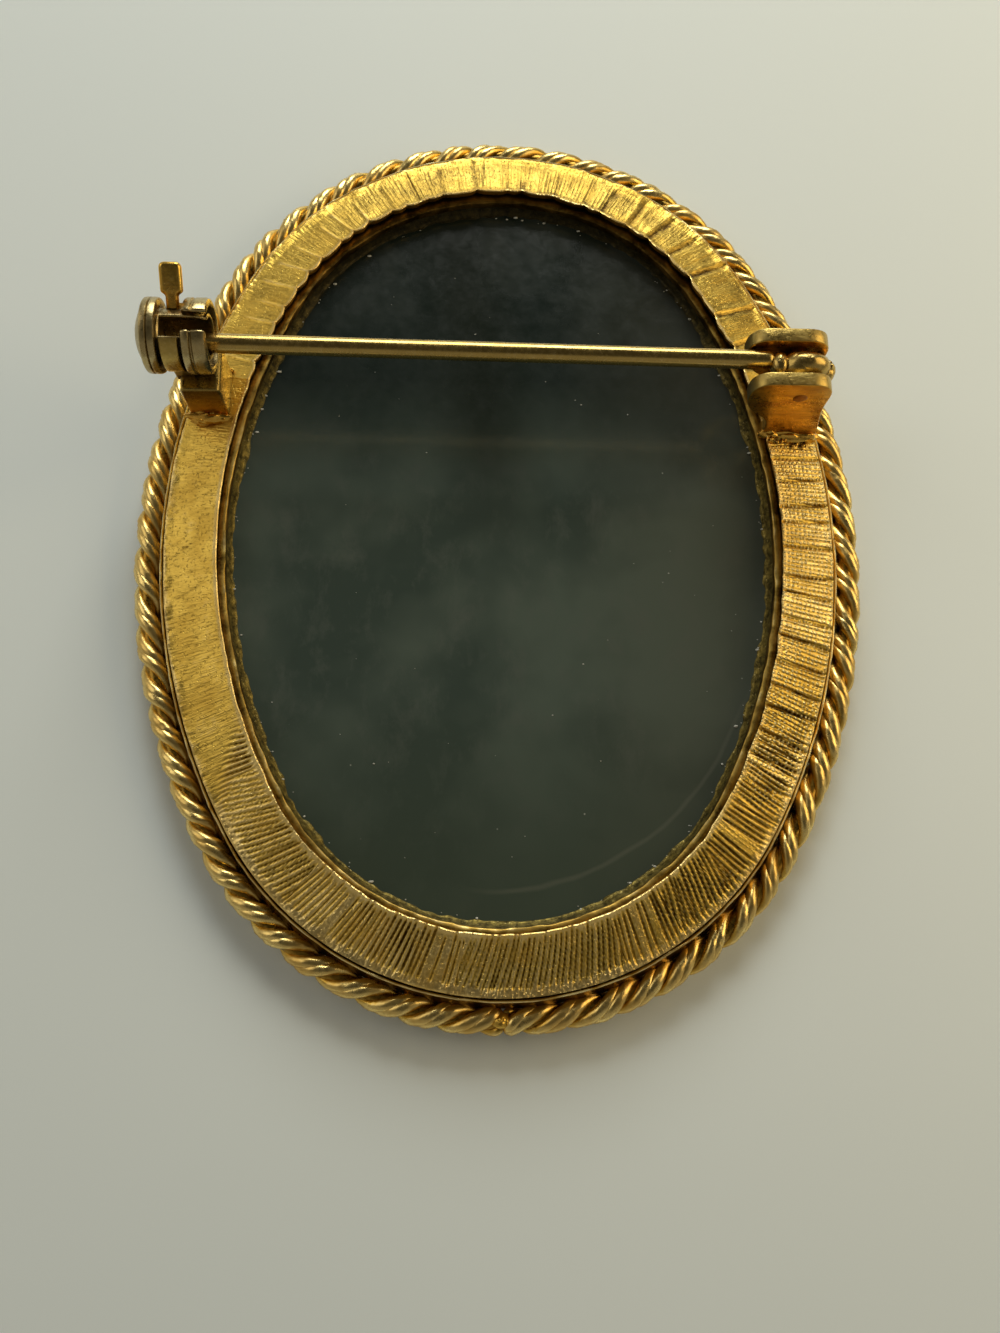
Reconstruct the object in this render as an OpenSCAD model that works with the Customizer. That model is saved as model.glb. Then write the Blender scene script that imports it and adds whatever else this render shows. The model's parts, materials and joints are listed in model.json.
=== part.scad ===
// Oval cameo brooch lying on its face, back up: a gilt frame with a conical flange and a
// twisted rope border, a dark two-layer stone with a white profile on its front, a hinged
// pin and a turning safety catch. Millimetres, +Z up, +Y towards the brooch's top edge,
// origin on the surface under the middle of the brooch.

/* [Frame outline] */
// Clear width of the flange's opening, across X
opening_w = 28.2; // [26:0.1:31]
// Clear length of the flange's opening, along Y
opening_l = 39.12; // [37:0.1:43]
// Radius of the opening's two end arcs
tip_r = 12.22; // [11:0.1:12.8]

/* [Flange and bezel] */
// Width of the flange seen from the back
flange_w = 2.79; // [2.4:0.05:3.2]
// Height of the flange's outer edge above the surface
flange_outer_z = 2.45; // [2.3:0.05:2.9]
// Height of the flange's inner edge above the surface
flange_inner_z = 3.36; // [3.2:0.05:3.8]
// Thickness of the sheet that the flange is made of
sheet_t = 0.4; // [0.3:0.05:0.5]
// How far the step inside the flange stands into the opening
step_w = 0.35; // [0.2:0.05:0.5]
// Drop from the flange's inner edge to that step
step_drop = 0.5; // [0.3:0.05:0.7]
// Thickness of the ledge that the stone's back lies against
ledge_t = 0.76; // [0.6:0.02:0.9]
// Gap between the flange's inner edge and the bezel wall's inner face
seat_w = 0.6; // [0.5:0.05:0.8]
// How far the front rim folds over the stone's face
rim_lip = 0.45; // [0.3:0.05:0.6]
// How far the side wall stands out past the flange's outer edge
band_w = 0.2; // [0.1:0.01:0.3]
// Drop from the flange's outer edge to the side wall's upper edge
band_drop = 0.15; // [0.1:0.01:0.3]
// Height of the side wall's lower edge
band_low = 0.4; // [0.2:0.05:0.6]

/* [Rope border] */
// Overall radius of the twisted rope
rope_r = 0.75; // [0.6:0.01:0.8]
// Height of the rope's underside above the surface
rope_rise = 0.35; // [0.1:0.05:0.6]
// Clearance between the rope and the side wall inside it
rope_gap = 0.09; // [0.05:0.01:0.2]
// Length of rope for one strand hump
rope_pitch = 1.98; // [1.6:0.02:2.6]
// Depth left between the two strands, as a share of the rope's radius
rope_valley = 0.5; // [0.4:0.05:0.8]

/* [Stone] */
// Thickness of the dark stone plate
stone_t = 1.1; // [0.9:0.05:1.2]
// Clearance between the stone and the metal round it
stone_gap = 0.05; // [0.03:0.01:0.1]

/* [Cameo relief] */
// Height of the carved profile, from the cut of the bust to the crown
relief_l = 27.5; // [22:0.5:30]
// Width that the carved profile is charted in
relief_w = 19; // [16:0.5:20]
// Greatest rise of the carving from the stone's face
relief_h = 0.66; // [0.5:0.02:0.66]
// Thickness of the white layer at the carving's edge
relief_edge = 0.14; // [0.08:0.02:0.2]
// Clearance between the white layer and the dark one
layer_gap = 0.02; // [0.01:0.01:0.05]

/* [Hinge] */
// How far the hinge axis lies outside the opening's edge, along X
hinge_out = 0.15; // [-0.1:0.05:0.4]
// Middle of the space between the two ears, along Y
hinge_y = 7.11; // [6.6:0.05:7.6]
// Height of the hinge axis
hinge_z = 7.05; // [6.9:0.05:7.3]
// Thickness of each ear
ear_t = 0.7; // [0.5:0.05:0.8]
// Space between the two ears
ear_gap = 1.62; // [1.5:0.02:1.9]
// Width of an ear at its head
ear_w = 3.95; // [3.6:0.05:4.2]
// How far an ear reaches outside the hinge axis
ear_out = 1.45; // [1.2:0.05:1.5]
// Height of an ear above the hinge axis
ear_rise = 1.3; // [1.2:0.05:1.5]
// Width of the foot that the ears stand on
ear_foot_w = 2.75; // [2.4:0.05:2.9]
// How far the foot reaches out past the ears' heads
ear_foot_out = 0.5; // [0.3:0.05:0.6]
// Radius of the hinge rivet
rivet_r = 0.42; // [0.3:0.01:0.5]
// Radial running clearance of the knuckle on its rivet
rivet_play = 0.03; // [0.02:0.01:0.08]
// Radial clearance of the rivet in the ears
rivet_seat = 0.01; // [0.01:0.01:0.03]

/* [Pin] */
// Radius of the pin's wire
pin_r = 0.46; // [0.35:0.01:0.48]
// Height of the wire's centre line above the hinge axis
pin_rise = 0.45; // [0.3:0.05:0.6]
// Where the wire's centre line crosses the catch, along Y
pin_catch_y = 7.78; // [7.4:0.02:8.1]
// Length of the tapered point
point_l = 1.9; // [1.5:0.1:2.2]
// Radius of the rounded end of the point
point_r = 0.16; // [0.1:0.02:0.2]
// Radius of the knuckle that turns on the rivet
knuckle_r = 1.2; // [1.1:0.05:1.25]
// Clearance between the knuckle and each ear
knuckle_play = 0.1; // [0.05:0.01:0.15]
// Reach of the knuckle's tail beyond the hinge axis
tail_l = 1.8; // [1.6:0.05:1.9]

/* [Catch] */
// How far the middle of the catch's strap lies outside the opening's edge, along X
catch_out = 1.48; // [1.3:0.02:1.6]
// How far the catch's axis lies beside the pin, along Y
seat_side = 0.12; // [0:0.02:0.2]
// How far the pin lies below the catch's axis
seat_drop = 0.36; // [0.2:0.02:0.4]
// Radius of the catch's two discs
disc_r = 1.75; // [1.65:0.05:1.9]
// Thickness of the open disc, where the pin enters
open_disc_t = 1.15; // [1:0.05:1.3]
// Thickness of the closed disc's rim
closed_disc_t = 0.75; // [0.6:0.05:0.9]
// Bulge of the closed disc's domed end
dome_h = 0.42; // [0.3:0.02:0.5]
// Wall of the tube between the discs
tube_wall = 0.34; // [0.25:0.01:0.4]
// Clearance between the pin and the hollow that it lies in
bore_play = 0.04; // [0.02:0.01:0.1]
// Clearance between the pin and the sides of the slot it enters by
slot_play = 0.05; // [0.04:0.01:0.1]
// Width of the fixed strap round the tube
strap_w = 0.85; // [0.7:0.05:0.9]
// Thickness of the fixed strap
strap_t = 0.36; // [0.3:0.02:0.4]
// Running clearance of the tube in the strap
strap_play = 0.05; // [0.03:0.01:0.08]
// Gap between the strap's edges and the discs beside it
disc_play = 0.15; // [0.1:0.01:0.2]
// Angle that the strap's lower edge stays clear of the pin's way out
strap_margin = 3; // [2:1:8]
// Edge of the strap's opening on the upper side, degrees from straight up
strap_open_high = 82; // [78:1:90]
// Place of the lever with the catch open, degrees from straight up
lever_angle = 55; // [50:1:60]
// Reach of the lever from the catch's axis
lever_r = 3.3; // [2.8:0.1:3.6]
// Width of the lever's tab
lever_w = 1.05; // [0.8:0.05:1.2]
// Thickness of the lever
lever_t = 0.42; // [0.3:0.02:0.5]
// Width of the lever's neck, where it passes the strap's opening
neck_w = 0.6; // [0.4:0.05:0.8]
// Width of the foot that carries the catch, along X
foot_w = 1.95; // [1.7:0.05:2.1]
// Depth of that foot, along Y
foot_l = 2.5; // [2:0.1:2.8]
// Space between that foot and the disc over it
foot_gap = 0.35; // [0.2:0.05:0.6]

/* [Hidden] */
// A small extra reach, so that cuts and welds pass their faces
eps = 0.05;

// The four-centre oval: half sizes, side arc and the arcs' centres
half_w = opening_w / 2;
half_l = opening_l / 2;
side_r = (2 * half_l * tip_r - half_w * half_w - half_l * half_l) / (2 * (tip_r - half_w));
tip_c = half_l - tip_r;
side_c = side_r - half_w;
// Direction in which a side arc hands over to an end arc
join_a = atan2(tip_c, side_c);

// Frame section, measured outwards from the flange's inner edge
slope = (flange_inner_z - flange_outer_z) / flange_w;
function flange_z(d) = flange_inner_z - slope * d;
wall_out = seat_w + sheet_t;
ledge_z = flange_inner_z - step_drop - ledge_t;
stone_top = ledge_z - stone_gap;
stone_face = stone_top - stone_t;
rim_z = stone_face - stone_gap;

// Points of the oval at outward offset d, for the direction a of its outward normal
function fold(a) = abs(((a % 360) + 540) % 360 - 180);
function on_side(a) = let (f = fold(a)) f <= join_a || f >= 180 - join_a;
function arc_c(a) = on_side(a) ? [-sign(cos(a)) * side_c, 0] : [0, sign(sin(a)) * tip_c];
function arc_r(a) = on_side(a) ? side_r : tip_r;
function oval(a, d) = arc_c(a) + (arc_r(a) + d) * [cos(a), sin(a)];

// The direction a at a run of length s along the oval at offset d, from +X turning to +Y
function quarter_side(d) = (side_r + d) * join_a * PI / 180;
function quarter(d) = quarter_side(d) + (tip_r + d) * (90 - join_a) * PI / 180;
function along(s, d) =
    s <= quarter_side(d) ? s / (side_r + d) * 180 / PI
    : join_a + (s - quarter_side(d)) / (tip_r + d) * 180 / PI;
function turn(s, d) =
    let (q = floor(s / quarter(d)), r = s - q * quarter(d))
    q % 2 == 0 ? 90 * q + along(r, d) : 90 * (q + 1) - along(quarter(d) - r, d);

// Directions of the stations round the oval, from the middle of its right side
side_steps = 18;
tip_steps = 24;
HALF_TURN = concat(
    [for (i = [0 : side_steps - 1]) -join_a + 2 * join_a * i / side_steps],
    [for (i = [0 : tip_steps - 1]) join_a + (180 - 2 * join_a) * i / tip_steps]
);
STATIONS = concat(HALF_TURN, [for (a = HALF_TURN) a + 180]);

// Faces of the side wall, which is as thick as the flange's sheet
band_out = flange_w + band_w;
band_in = band_out - sheet_t;

// Rope: a whole number of humps, an even spacing of rings and a two-lobed section
rope_d = band_out + rope_gap + rope_r;
rope_z = rope_rise + rope_r;
rope_run = 4 * quarter(rope_d);
humps = 2 * round(rope_run / rope_pitch / 2);
rings_per_hump = 5;
rope_sides = 12;
rope_rings = humps * rings_per_hump;

// Hinge and pin: places, and the pin's direction from the hinge to the catch
hinge_x = half_w + hinge_out;
catch_x = half_w + catch_out;
knuckle_w = ear_gap - 2 * knuckle_play;
pin_z = hinge_z + pin_rise;
pin_hinge_y = hinge_y + knuckle_w / 2 - pin_r - 0.01;
pin_entry_x = -(catch_x - strap_w / 2 - disc_play);
pin_run = hinge_x - pin_entry_x;
pin_yaw = atan2(pin_catch_y - pin_hinge_y, pin_run);
pin_tip_x = -(catch_x + 0.32);
pin_end_x = hinge_x - knuckle_r - 0.45;
point_base_x = pin_tip_x + point_l;

// Catch: its axis and radii, then places along X from the strap to both sides
catch_y = pin_catch_y + seat_side;
catch_z = pin_z + seat_drop;
bore_r = pin_r + norm([seat_side, seat_drop]) + bore_play;
tube_r = bore_r + tube_wall;
strap_x0 = -(catch_x + strap_w / 2);
strap_x1 = -(catch_x - strap_w / 2);
open_x0 = strap_x1 + disc_play;
open_x1 = open_x0 + open_disc_t;
closed_x1 = strap_x0 - disc_play;
closed_x0 = closed_x1 - closed_disc_t;
strap_in = tube_r + strap_play;
strap_out = strap_in + strap_t;
slot_half = pin_r + slot_play;
strap_open_low = -asin((seat_side + slot_half) / strap_in) - strap_margin;

// Carved profile, bottom to top: [height along the carving, back edge, front edge, rise],
// shares of relief_l, of relief_w from its middle, and of relief_h
PROFILE = [
    [0.000, -0.02, 0.08, 0.45], [0.020, -0.14, 0.20, 0.66], [0.050, -0.25, 0.29, 0.78],
    [0.090, -0.34, 0.345, 0.85], [0.130, -0.395, 0.365, 0.88], [0.170, -0.42, 0.36, 0.90],
    [0.210, -0.415, 0.335, 0.89], [0.250, -0.385, 0.29, 0.87], [0.290, -0.335, 0.235, 0.84],
    [0.320, -0.29, 0.19, 0.82], [0.350, -0.25, 0.155, 0.80], [0.380, -0.225, 0.13, 0.80],
    [0.410, -0.215, 0.12, 0.81], [0.435, -0.22, 0.125, 0.83], [0.452, -0.235, 0.15, 0.85],
    [0.462, -0.25, 0.20, 0.87], [0.470, -0.265, 0.235, 0.88], [0.482, -0.285, 0.25, 0.90],
    [0.497, -0.315, 0.236, 0.91], [0.512, -0.34, 0.252, 0.93], [0.523, -0.355, 0.242, 0.94],
    [0.536, -0.37, 0.258, 0.94], [0.552, -0.385, 0.244, 0.95], [0.564, -0.395, 0.262, 0.96],
    [0.577, -0.405, 0.296, 0.96], [0.596, -0.415, 0.28, 0.97], [0.625, -0.425, 0.25, 0.98],
    [0.652, -0.425, 0.229, 0.99], [0.678, -0.42, 0.238, 1.00], [0.712, -0.41, 0.237, 1.00],
    [0.750, -0.405, 0.225, 1.00], [0.790, -0.40, 0.225, 1.00], [0.830, -0.388, 0.212, 0.99],
    [0.870, -0.366, 0.19, 0.96], [0.905, -0.333, 0.155, 0.92], [0.940, -0.282, 0.104, 0.84],
    [0.968, -0.216, 0.04, 0.70], [0.985, -0.137, -0.037, 0.50],
];
// Places across a row of the carving, as shares from its back edge to its front edge
ACROSS = [0, 0.03, 0.08, 0.16, 0.27, 0.4, 0.53, 0.66, 0.77, 0.87, 0.94, 0.98, 1];
// Forms on the carving: [forward, height, half width, half height, rise], shares as above
FORMS = [
    [-0.33, 0.66, 0.11, 0.085, 0.22], [-0.10, 0.83, 0.17, 0.08, 0.10],
    [0.10, 0.535, 0.09, 0.05, 0.10], [0.17, 0.650, 0.05, 0.018, -0.16],
    [-0.03, 0.60, 0.03, 0.03, 0.08], [-0.06, 0.40, 0.12, 0.05, -0.14],
    [0.02, 0.24, 0.16, 0.03, -0.10],
];

// A closed ring through a list of like sections, each anticlockwise seen along the run
module ring_through(sections) {
    n = len(sections[0]);
    count = len(sections);
    quads = [for (i = [0 : count - 1]) for (k = [0 : n - 1])
        let (j = (i + 1) % count, m = (k + 1) % n)
        [i * n + k, i * n + m, j * n + m, j * n + k]];
    polyhedron([for (section = sections) each section],
        [for (q = quads) each [[q[0], q[1], q[2]], [q[0], q[2], q[3]]]]);
}

// The frame's section as [outward offset, height], anticlockwise
FRAME_SECTION = [
    [-step_w, flange_inner_z - step_drop], [-step_w, ledge_z], [seat_w, ledge_z],
    [seat_w, rim_z], [seat_w - rim_lip, rim_z], [seat_w - rim_lip, rim_z - sheet_t],
    [seat_w - rim_lip * 0.4, 0], [wall_out, 0], [wall_out, flange_z(wall_out) - sheet_t],
    [band_in, flange_z(band_in) - sheet_t], [band_in, band_low],
    [band_out, band_low], [band_out, flange_outer_z - band_drop],
    [flange_w, flange_outer_z - band_drop], [flange_w, flange_outer_z], [0, flange_inner_z],
];

module frame_ring() {
    ring_through([for (a = STATIONS) [for (p = FRAME_SECTION)
        let (c = oval(a, p[0])) [c[0], c[1], p[1]]]]);
}

// Points of an arc about c, from angle a0 to a1
function arc(c, r, a0, a1, n) =
    [for (i = [0 : n]) c + r * [cos(a0 + (a1 - a0) * i / n), sin(a0 + (a1 - a0) * i / n)]];

// An ear seen from the front: a wide round-cornered head that narrows to its foot
ear_right = hinge_x + ear_out;
ear_left = ear_right - ear_w;
ear_top = hinge_z + ear_rise;
foot_right = ear_right + ear_foot_out;
foot_left = foot_right - ear_foot_w;
head_r = 1.05;

module ear_outline() {
    polygon(concat(
        arc([ear_right - head_r, ear_top - head_r], head_r, 0, 90, 8),
        arc([ear_left + head_r, ear_top - head_r], head_r, 90, 215, 12),
        [[foot_left - 0.15, hinge_z - 2.4], [foot_left, flange_inner_z - 0.2],
            [foot_left, flange_outer_z], [foot_right, flange_outer_z - 0.1],
            [foot_right, flange_inner_z], [ear_right, hinge_z - 1.2]]
    ));
}

// A plate of the outline above, from y0 to y0 + t
module ear(y0, t) {
    translate([0, y0 + t, 0]) rotate([90, 0, 0]) linear_extrude(t) ear_outline();
}

module hinge_bracket() {
    ears_l = ear_gap + 2 * ear_t;
    difference() {
        union() {
            ear(hinge_y - ears_l / 2, ear_t);
            ear(hinge_y + ear_gap / 2, ear_t);
            translate([foot_left, hinge_y - ears_l / 2, flange_outer_z])
                cube([ear_foot_w, ears_l, flange_inner_z - flange_outer_z + 0.25]);
        }
        translate([hinge_x, hinge_y + ears_l, hinge_z])
            rotate([90, 0, 0])
                cylinder(r = rivet_r + rivet_seat, h = 2 * ears_l, $fn = 48);
    }
}

// Lays a shape drawn about +Z along the catch's axis, from x0 towards +X
module on_catch_axis(x0) {
    translate([x0, catch_y, catch_z]) rotate([0, 90, 0]) children();
}

// A wedge round the catch's axis, between two angles counted from straight up towards +Y
module catch_wedge(a0, a1, x0, w, r) {
    on_catch_axis(x0)
        rotate([0, 0, 180 - a1])
            rotate_extrude(angle = a1 - a0, $fn = 96) square([r, w]);
}

module catch_bracket() {
    foot_y0 = catch_y - disc_r + eps;
    foot_top = catch_z - disc_r - foot_gap;
    difference() {
        union() {
            on_catch_axis(strap_x0) cylinder(r = strap_out, h = strap_w, $fn = 96);
            translate([strap_x0, catch_y - 0.9, foot_top - 0.5])
                cube([strap_w, 1.8, catch_z - foot_top + 0.5 - strap_in * 0.9]);
        }
        on_catch_axis(strap_x0 - eps) cylinder(r = strap_in, h = strap_w + 2 * eps, $fn = 96);
        catch_wedge(strap_open_low, strap_open_high, strap_x0 - eps, strap_w + 2 * eps, 4);
    }
    translate([open_x1 - foot_w, foot_y0, flange_outer_z - 0.1])
        cube([foot_w, foot_l, foot_top - flange_outer_z + 0.1]);
}

module frame() {
    color("darkgoldenrod") union() {
        frame_ring();
        hinge_bracket();
        catch_bracket();
    }
}

function rope_radius(t) = rope_r * sqrt(cos(t) * cos(t) + pow(rope_valley * sin(t), 2));
function rope_ring(i) =
    let (s = rope_run * i / rope_rings, a = turn(s, rope_d), c = oval(a, rope_d),
        roll = 180 * (i + 0.5) / rings_per_hump)
    [for (k = [0 : rope_sides - 1])
        let (t = 360 * k / rope_sides, r = rope_radius(t), w = t + roll)
        [c[0] + r * cos(w) * cos(a), c[1] + r * cos(w) * sin(a), rope_z + r * sin(w)]];

module rope_border() {
    color("goldenrod") ring_through([for (i = [0 : rope_rings - 1]) rope_ring(i)]);
}

module stone() {
    color("darkslategray")
        translate([0, 0, stone_face])
            linear_extrude(stone_t)
                polygon([for (a = STATIONS) oval(a, seat_w - stone_gap)]);
}

// Rise of the carving above the stone at share u across a row, for a place in the chart
function form_rise(f, x, y) =
    f[4] * exp(-pow((x - f[0]) / f[2], 2) - pow((y - f[1]) / f[3], 2));
function dome(u) = pow(1 - pow(abs(2 * u - 1), 2.6), 0.5);
function rise(row, u) =
    let (x = row[1] + (row[2] - row[1]) * u, y = row[0],
        forms = [for (f = FORMS) form_rise(f, x, y)])
    (relief_h - relief_edge) * dome(u) * min(1, 0.86 * row[3] + forms * [for (f = FORMS) 1]);

// The carving is charted as seen from the front, so its forward side points to -X
module cameo_relief() {
    n = len(ACROSS);
    rows = len(PROFILE);
    base_z = stone_face - layer_gap;
    function spot(row, u) =
        [-relief_w * (row[1] + (row[2] - row[1]) * u), relief_l * (row[0] - 0.5)];
    face_points = [for (row = PROFILE) for (u = ACROSS)
        let (p = spot(row, u)) [p[0], p[1], base_z - relief_edge - rise(row, u)]];
    back_points = [for (row = PROFILE) for (u = ACROSS)
        let (p = spot(row, u)) [p[0], p[1], base_z]];
    b = rows * n;
    face_tris = [for (j = [0 : rows - 2]) for (i = [0 : n - 2])
        let (p = j * n + i) each [[p, p + n + 1, p + 1], [p, p + n, p + n + 1]]];
    back_tris = [for (t = face_tris) [t[2] + b, t[1] + b, t[0] + b]];
    rim = concat([for (i = [0 : n - 1]) i], [for (j = [1 : rows - 1]) j * n + n - 1],
        [for (i = [n - 2 : -1 : 0]) (rows - 1) * n + i], [for (j = [rows - 2 : -1 : 1]) j * n]);
    sides = [for (k = [0 : len(rim) - 1])
        let (p = rim[k], q = rim[(k + 1) % len(rim)]) each [[p, q, p + b], [q, q + b, p + b]]];
    color("ivory") polyhedron(concat(face_points, back_points),
        concat(face_tris, back_tris, sides));
}

module hinge_rivet() {
    l = ear_gap + 2 * ear_t;
    color("darkgoldenrod")
        translate([hinge_x, hinge_y + l / 2, hinge_z])
            rotate([90, 0, 0]) cylinder(r = rivet_r, h = l, $fn = 48);
}

// Lays a shape drawn about +Z along the pin, from the point at x towards the hinge
module on_pin_axis(x) {
    translate([hinge_x, pin_hinge_y, pin_z])
        rotate([0, 0, -pin_yaw])
            translate([x - hinge_x, 0, 0]) rotate([0, 90, 0]) children();
}

module knuckle_block(x, z, r) {
    translate([x, hinge_y + knuckle_w / 2, z])
        rotate([90, 0, 0]) cylinder(r = r, h = knuckle_w, $fn = 64);
}

module pin_stem() {
    neck_r = 0.3;
    lobe_r = 0.44;
    lobe_x = hinge_x - knuckle_r + 0.05;
    color("goldenrod") difference() {
        union() {
            on_pin_axis(pin_tip_x) cylinder(r1 = point_r, r2 = pin_r, h = point_l, $fn = 48);
            on_pin_axis(point_base_x)
                cylinder(r = pin_r, h = pin_end_x - point_base_x, $fn = 48);
            on_pin_axis(pin_end_x) sphere(r = pin_r, $fn = 48);
            on_pin_axis(pin_end_x) cylinder(r = neck_r, h = hinge_x - pin_end_x, $fn = 48);
            knuckle_block(hinge_x, hinge_z, knuckle_r);
            knuckle_block(lobe_x, pin_z, lobe_r);
            translate([lobe_x, hinge_y - knuckle_w / 2, hinge_z - knuckle_r * 0.6])
                cube([hinge_x - lobe_x, knuckle_w, pin_z - hinge_z + knuckle_r * 0.6]);
            translate([hinge_x, hinge_y - knuckle_w * 0.33, hinge_z - knuckle_r])
                cube([tail_l, knuckle_w * 0.75, knuckle_r + 0.5]);
        }
        translate([hinge_x, hinge_y + knuckle_w, hinge_z])
            rotate([90, 0, 0])
                cylinder(r = rivet_r + rivet_play, h = 2 * knuckle_w, $fn = 48);
    }
}

// Half section of the turning catch, radius against distance from the closed disc's back
module spool_section() {
    w = open_x1 - closed_x0;
    a = closed_x1 - closed_x0;
    b = open_x0 - closed_x0;
    chamfer = 0.16;
    polygon([
        [0, -dome_h], [disc_r * 0.35, -dome_h * 0.9], [disc_r * 0.62, -dome_h * 0.6],
        [disc_r * 0.78, 0], [disc_r - chamfer, 0], [disc_r, chamfer], [disc_r, a - chamfer],
        [disc_r - chamfer, a], [tube_r, a], [tube_r, b], [disc_r - chamfer, b],
        [disc_r, b + chamfer], [disc_r, b + open_disc_t * 0.3],
        [disc_r - 0.12, b + open_disc_t * 0.4], [disc_r, b + open_disc_t * 0.5],
        [disc_r, w - chamfer], [disc_r - chamfer, w], [disc_r - 0.35, w],
        [disc_r - 0.35, w - 0.3], [bore_r + 0.16, w - 0.3], [bore_r + 0.16, w - 0.12],
        [bore_r, w - 0.12], [bore_r, a * 0.8], [0, a * 0.8],
    ]);
}

module catch_spool() {
    color("tan") difference() {
        union() {
            on_catch_axis(closed_x0)
                rotate_extrude($fn = 96) spool_section();
            translate([-catch_x, catch_y, catch_z])
                rotate([-lever_angle, 0, 0]) {
                    translate([-neck_w / 2, -lever_t / 2, tube_r - 0.1])
                        cube([neck_w, lever_t, disc_r - tube_r + 0.25]);
                    translate([-lever_w / 2, -lever_t / 2, disc_r + 0.1])
                        cube([lever_w, lever_t, lever_r - disc_r - 0.1]);
                }
        }
        translate([closed_x1 + eps, pin_catch_y - slot_half, pin_z])
            cube([open_x1 - closed_x1 + eps, 2 * slot_half, disc_r + 1]);
    }
}

frame();
rope_border();
stone();
cameo_relief();
hinge_rivet();
pin_stem();
catch_spool();
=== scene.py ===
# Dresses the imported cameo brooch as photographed: lying on its face, back up. Shapes are worked
# out in millimetres and stored in metres. +Z is out of the brooch's back, +Y towards its top
# edge, +X from the catch to the hinge, and the origin on the surface under its middle.
import json
import math
import bmesh
import bpy
import numpy as np
from mathutils import Matrix, Vector


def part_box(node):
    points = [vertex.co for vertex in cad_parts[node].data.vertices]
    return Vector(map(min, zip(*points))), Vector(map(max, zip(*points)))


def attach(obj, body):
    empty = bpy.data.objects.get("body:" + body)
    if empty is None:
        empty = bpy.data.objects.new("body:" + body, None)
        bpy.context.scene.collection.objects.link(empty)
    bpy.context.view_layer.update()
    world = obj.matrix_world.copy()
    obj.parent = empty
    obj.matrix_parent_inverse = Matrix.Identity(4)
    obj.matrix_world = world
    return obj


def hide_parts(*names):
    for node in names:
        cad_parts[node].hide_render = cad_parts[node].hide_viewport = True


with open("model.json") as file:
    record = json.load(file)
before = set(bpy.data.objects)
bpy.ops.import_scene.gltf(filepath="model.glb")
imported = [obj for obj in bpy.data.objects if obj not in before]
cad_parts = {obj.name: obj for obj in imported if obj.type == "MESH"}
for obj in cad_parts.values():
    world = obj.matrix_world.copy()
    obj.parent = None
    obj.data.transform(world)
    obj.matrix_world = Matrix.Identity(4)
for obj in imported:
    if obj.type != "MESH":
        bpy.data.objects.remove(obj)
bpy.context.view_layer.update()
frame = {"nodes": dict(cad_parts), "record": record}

MM = 0.001


# Places that come from the frame

def box_mm(node):
    """Lowest and highest corner of a CAD node, in millimetres."""
    return [[v / MM for v in corner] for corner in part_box(node)]


def joint_mm(name):
    """The place of a joint's axis, in millimetres."""
    joint = next(j for j in frame["record"]["behaviour"]["joints"] if j["name"] == name)
    return [v / MM for v in joint["pos_m"]]


STONE_LOW, STONE_HIGH = box_mm("stone")
ROPE_LOW, ROPE_HIGH = box_mm("rope_border")
RIVET_LOW, RIVET_HIGH = box_mm("hinge_rivet")
PIN_TIP_X = box_mm("pin_stem")[0][0]
SPOOL_END_X = box_mm("catch_spool")[1][0]
HINGE_X, HINGE_Y, HINGE_Z = joint_mm("pin_hinge")
CATCH_X, CATCH_Y, CATCH_Z = joint_mm("catch_lock")
STONE_TOP = STONE_HIGH[2]
STONE_FACE = STONE_LOW[2]

# The oval of the flange's opening: four arcs, as the CAD model has them
STONE_TUCK = 0.55
TIP_R = 12.22
HALF_W = STONE_HIGH[0] - STONE_TUCK
HALF_L = STONE_HIGH[1] - STONE_TUCK
SIDE_R = (2 * HALF_L * TIP_R - HALF_W ** 2 - HALF_L ** 2) / (2 * (TIP_R - HALF_W))
TIP_C = HALF_L - TIP_R
SIDE_C = SIDE_R - HALF_W
JOIN = math.atan2(TIP_C, SIDE_C)

# Frame section: outward offsets and heights
FLANGE_W = 2.79
FLANGE_IN_Z = 3.36
FLANGE_OUT_Z = 2.45
SLOPE = (FLANGE_IN_Z - FLANGE_OUT_Z) / FLANGE_W
BAND_OUT = FLANGE_W + 0.2
BAND_LOW = 0.4
WALL_EDGE_Z = 2.34
STEP_Z = 2.85
SHEET_T = 0.4

# Rope
ROPE_R = (ROPE_HIGH[2] - ROPE_LOW[2]) / 2
ROPE_Z = (ROPE_HIGH[2] + ROPE_LOW[2]) / 2
ROPE_GAP = 0.09
ROPE_D = BAND_OUT + ROPE_GAP + ROPE_R


def oval(a, d):
    """x and y at outward offset d from the opening's edge, where the outward normal points to a."""
    a, d = np.broadcast_arrays(np.asarray(a, float), np.asarray(d, float))
    side = np.abs(np.sin(a)) <= math.sin(JOIN)
    radius = np.where(side, SIDE_R, TIP_R) + d
    x = np.where(side, -np.sign(np.cos(a)) * SIDE_C, 0.0) + radius * np.cos(a)
    y = np.where(side, 0.0, np.sign(np.sin(a)) * TIP_C) + radius * np.sin(a)
    return x, y


def quarter(d):
    """Length of a quarter of the oval at offset d."""
    return (SIDE_R + d) * JOIN + (TIP_R + d) * (math.pi / 2 - JOIN)


def turn(s, d):
    """Direction of the outward normal after a run of length s at offset d, from +X to +Y."""
    s = np.mod(s, 4 * quarter(d))
    q = np.floor(s / quarter(d))
    r = s - q * quarter(d)
    odd = np.mod(q, 2) == 1
    r = np.where(odd, quarter(d) - r, r)
    side = (SIDE_R + d) * JOIN
    a = np.where(r <= side, r / (SIDE_R + d), JOIN + (r - side) / (TIP_R + d))
    return np.where(odd, (q + 1) * math.pi / 2 - a, q * math.pi / 2 + a)


# Length of the run round the opening, and the place on it where rings start, by the hinge
RUN = 4 * quarter(0.0)
HINGE_RUN = 7.1


# Seeded roughness

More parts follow.
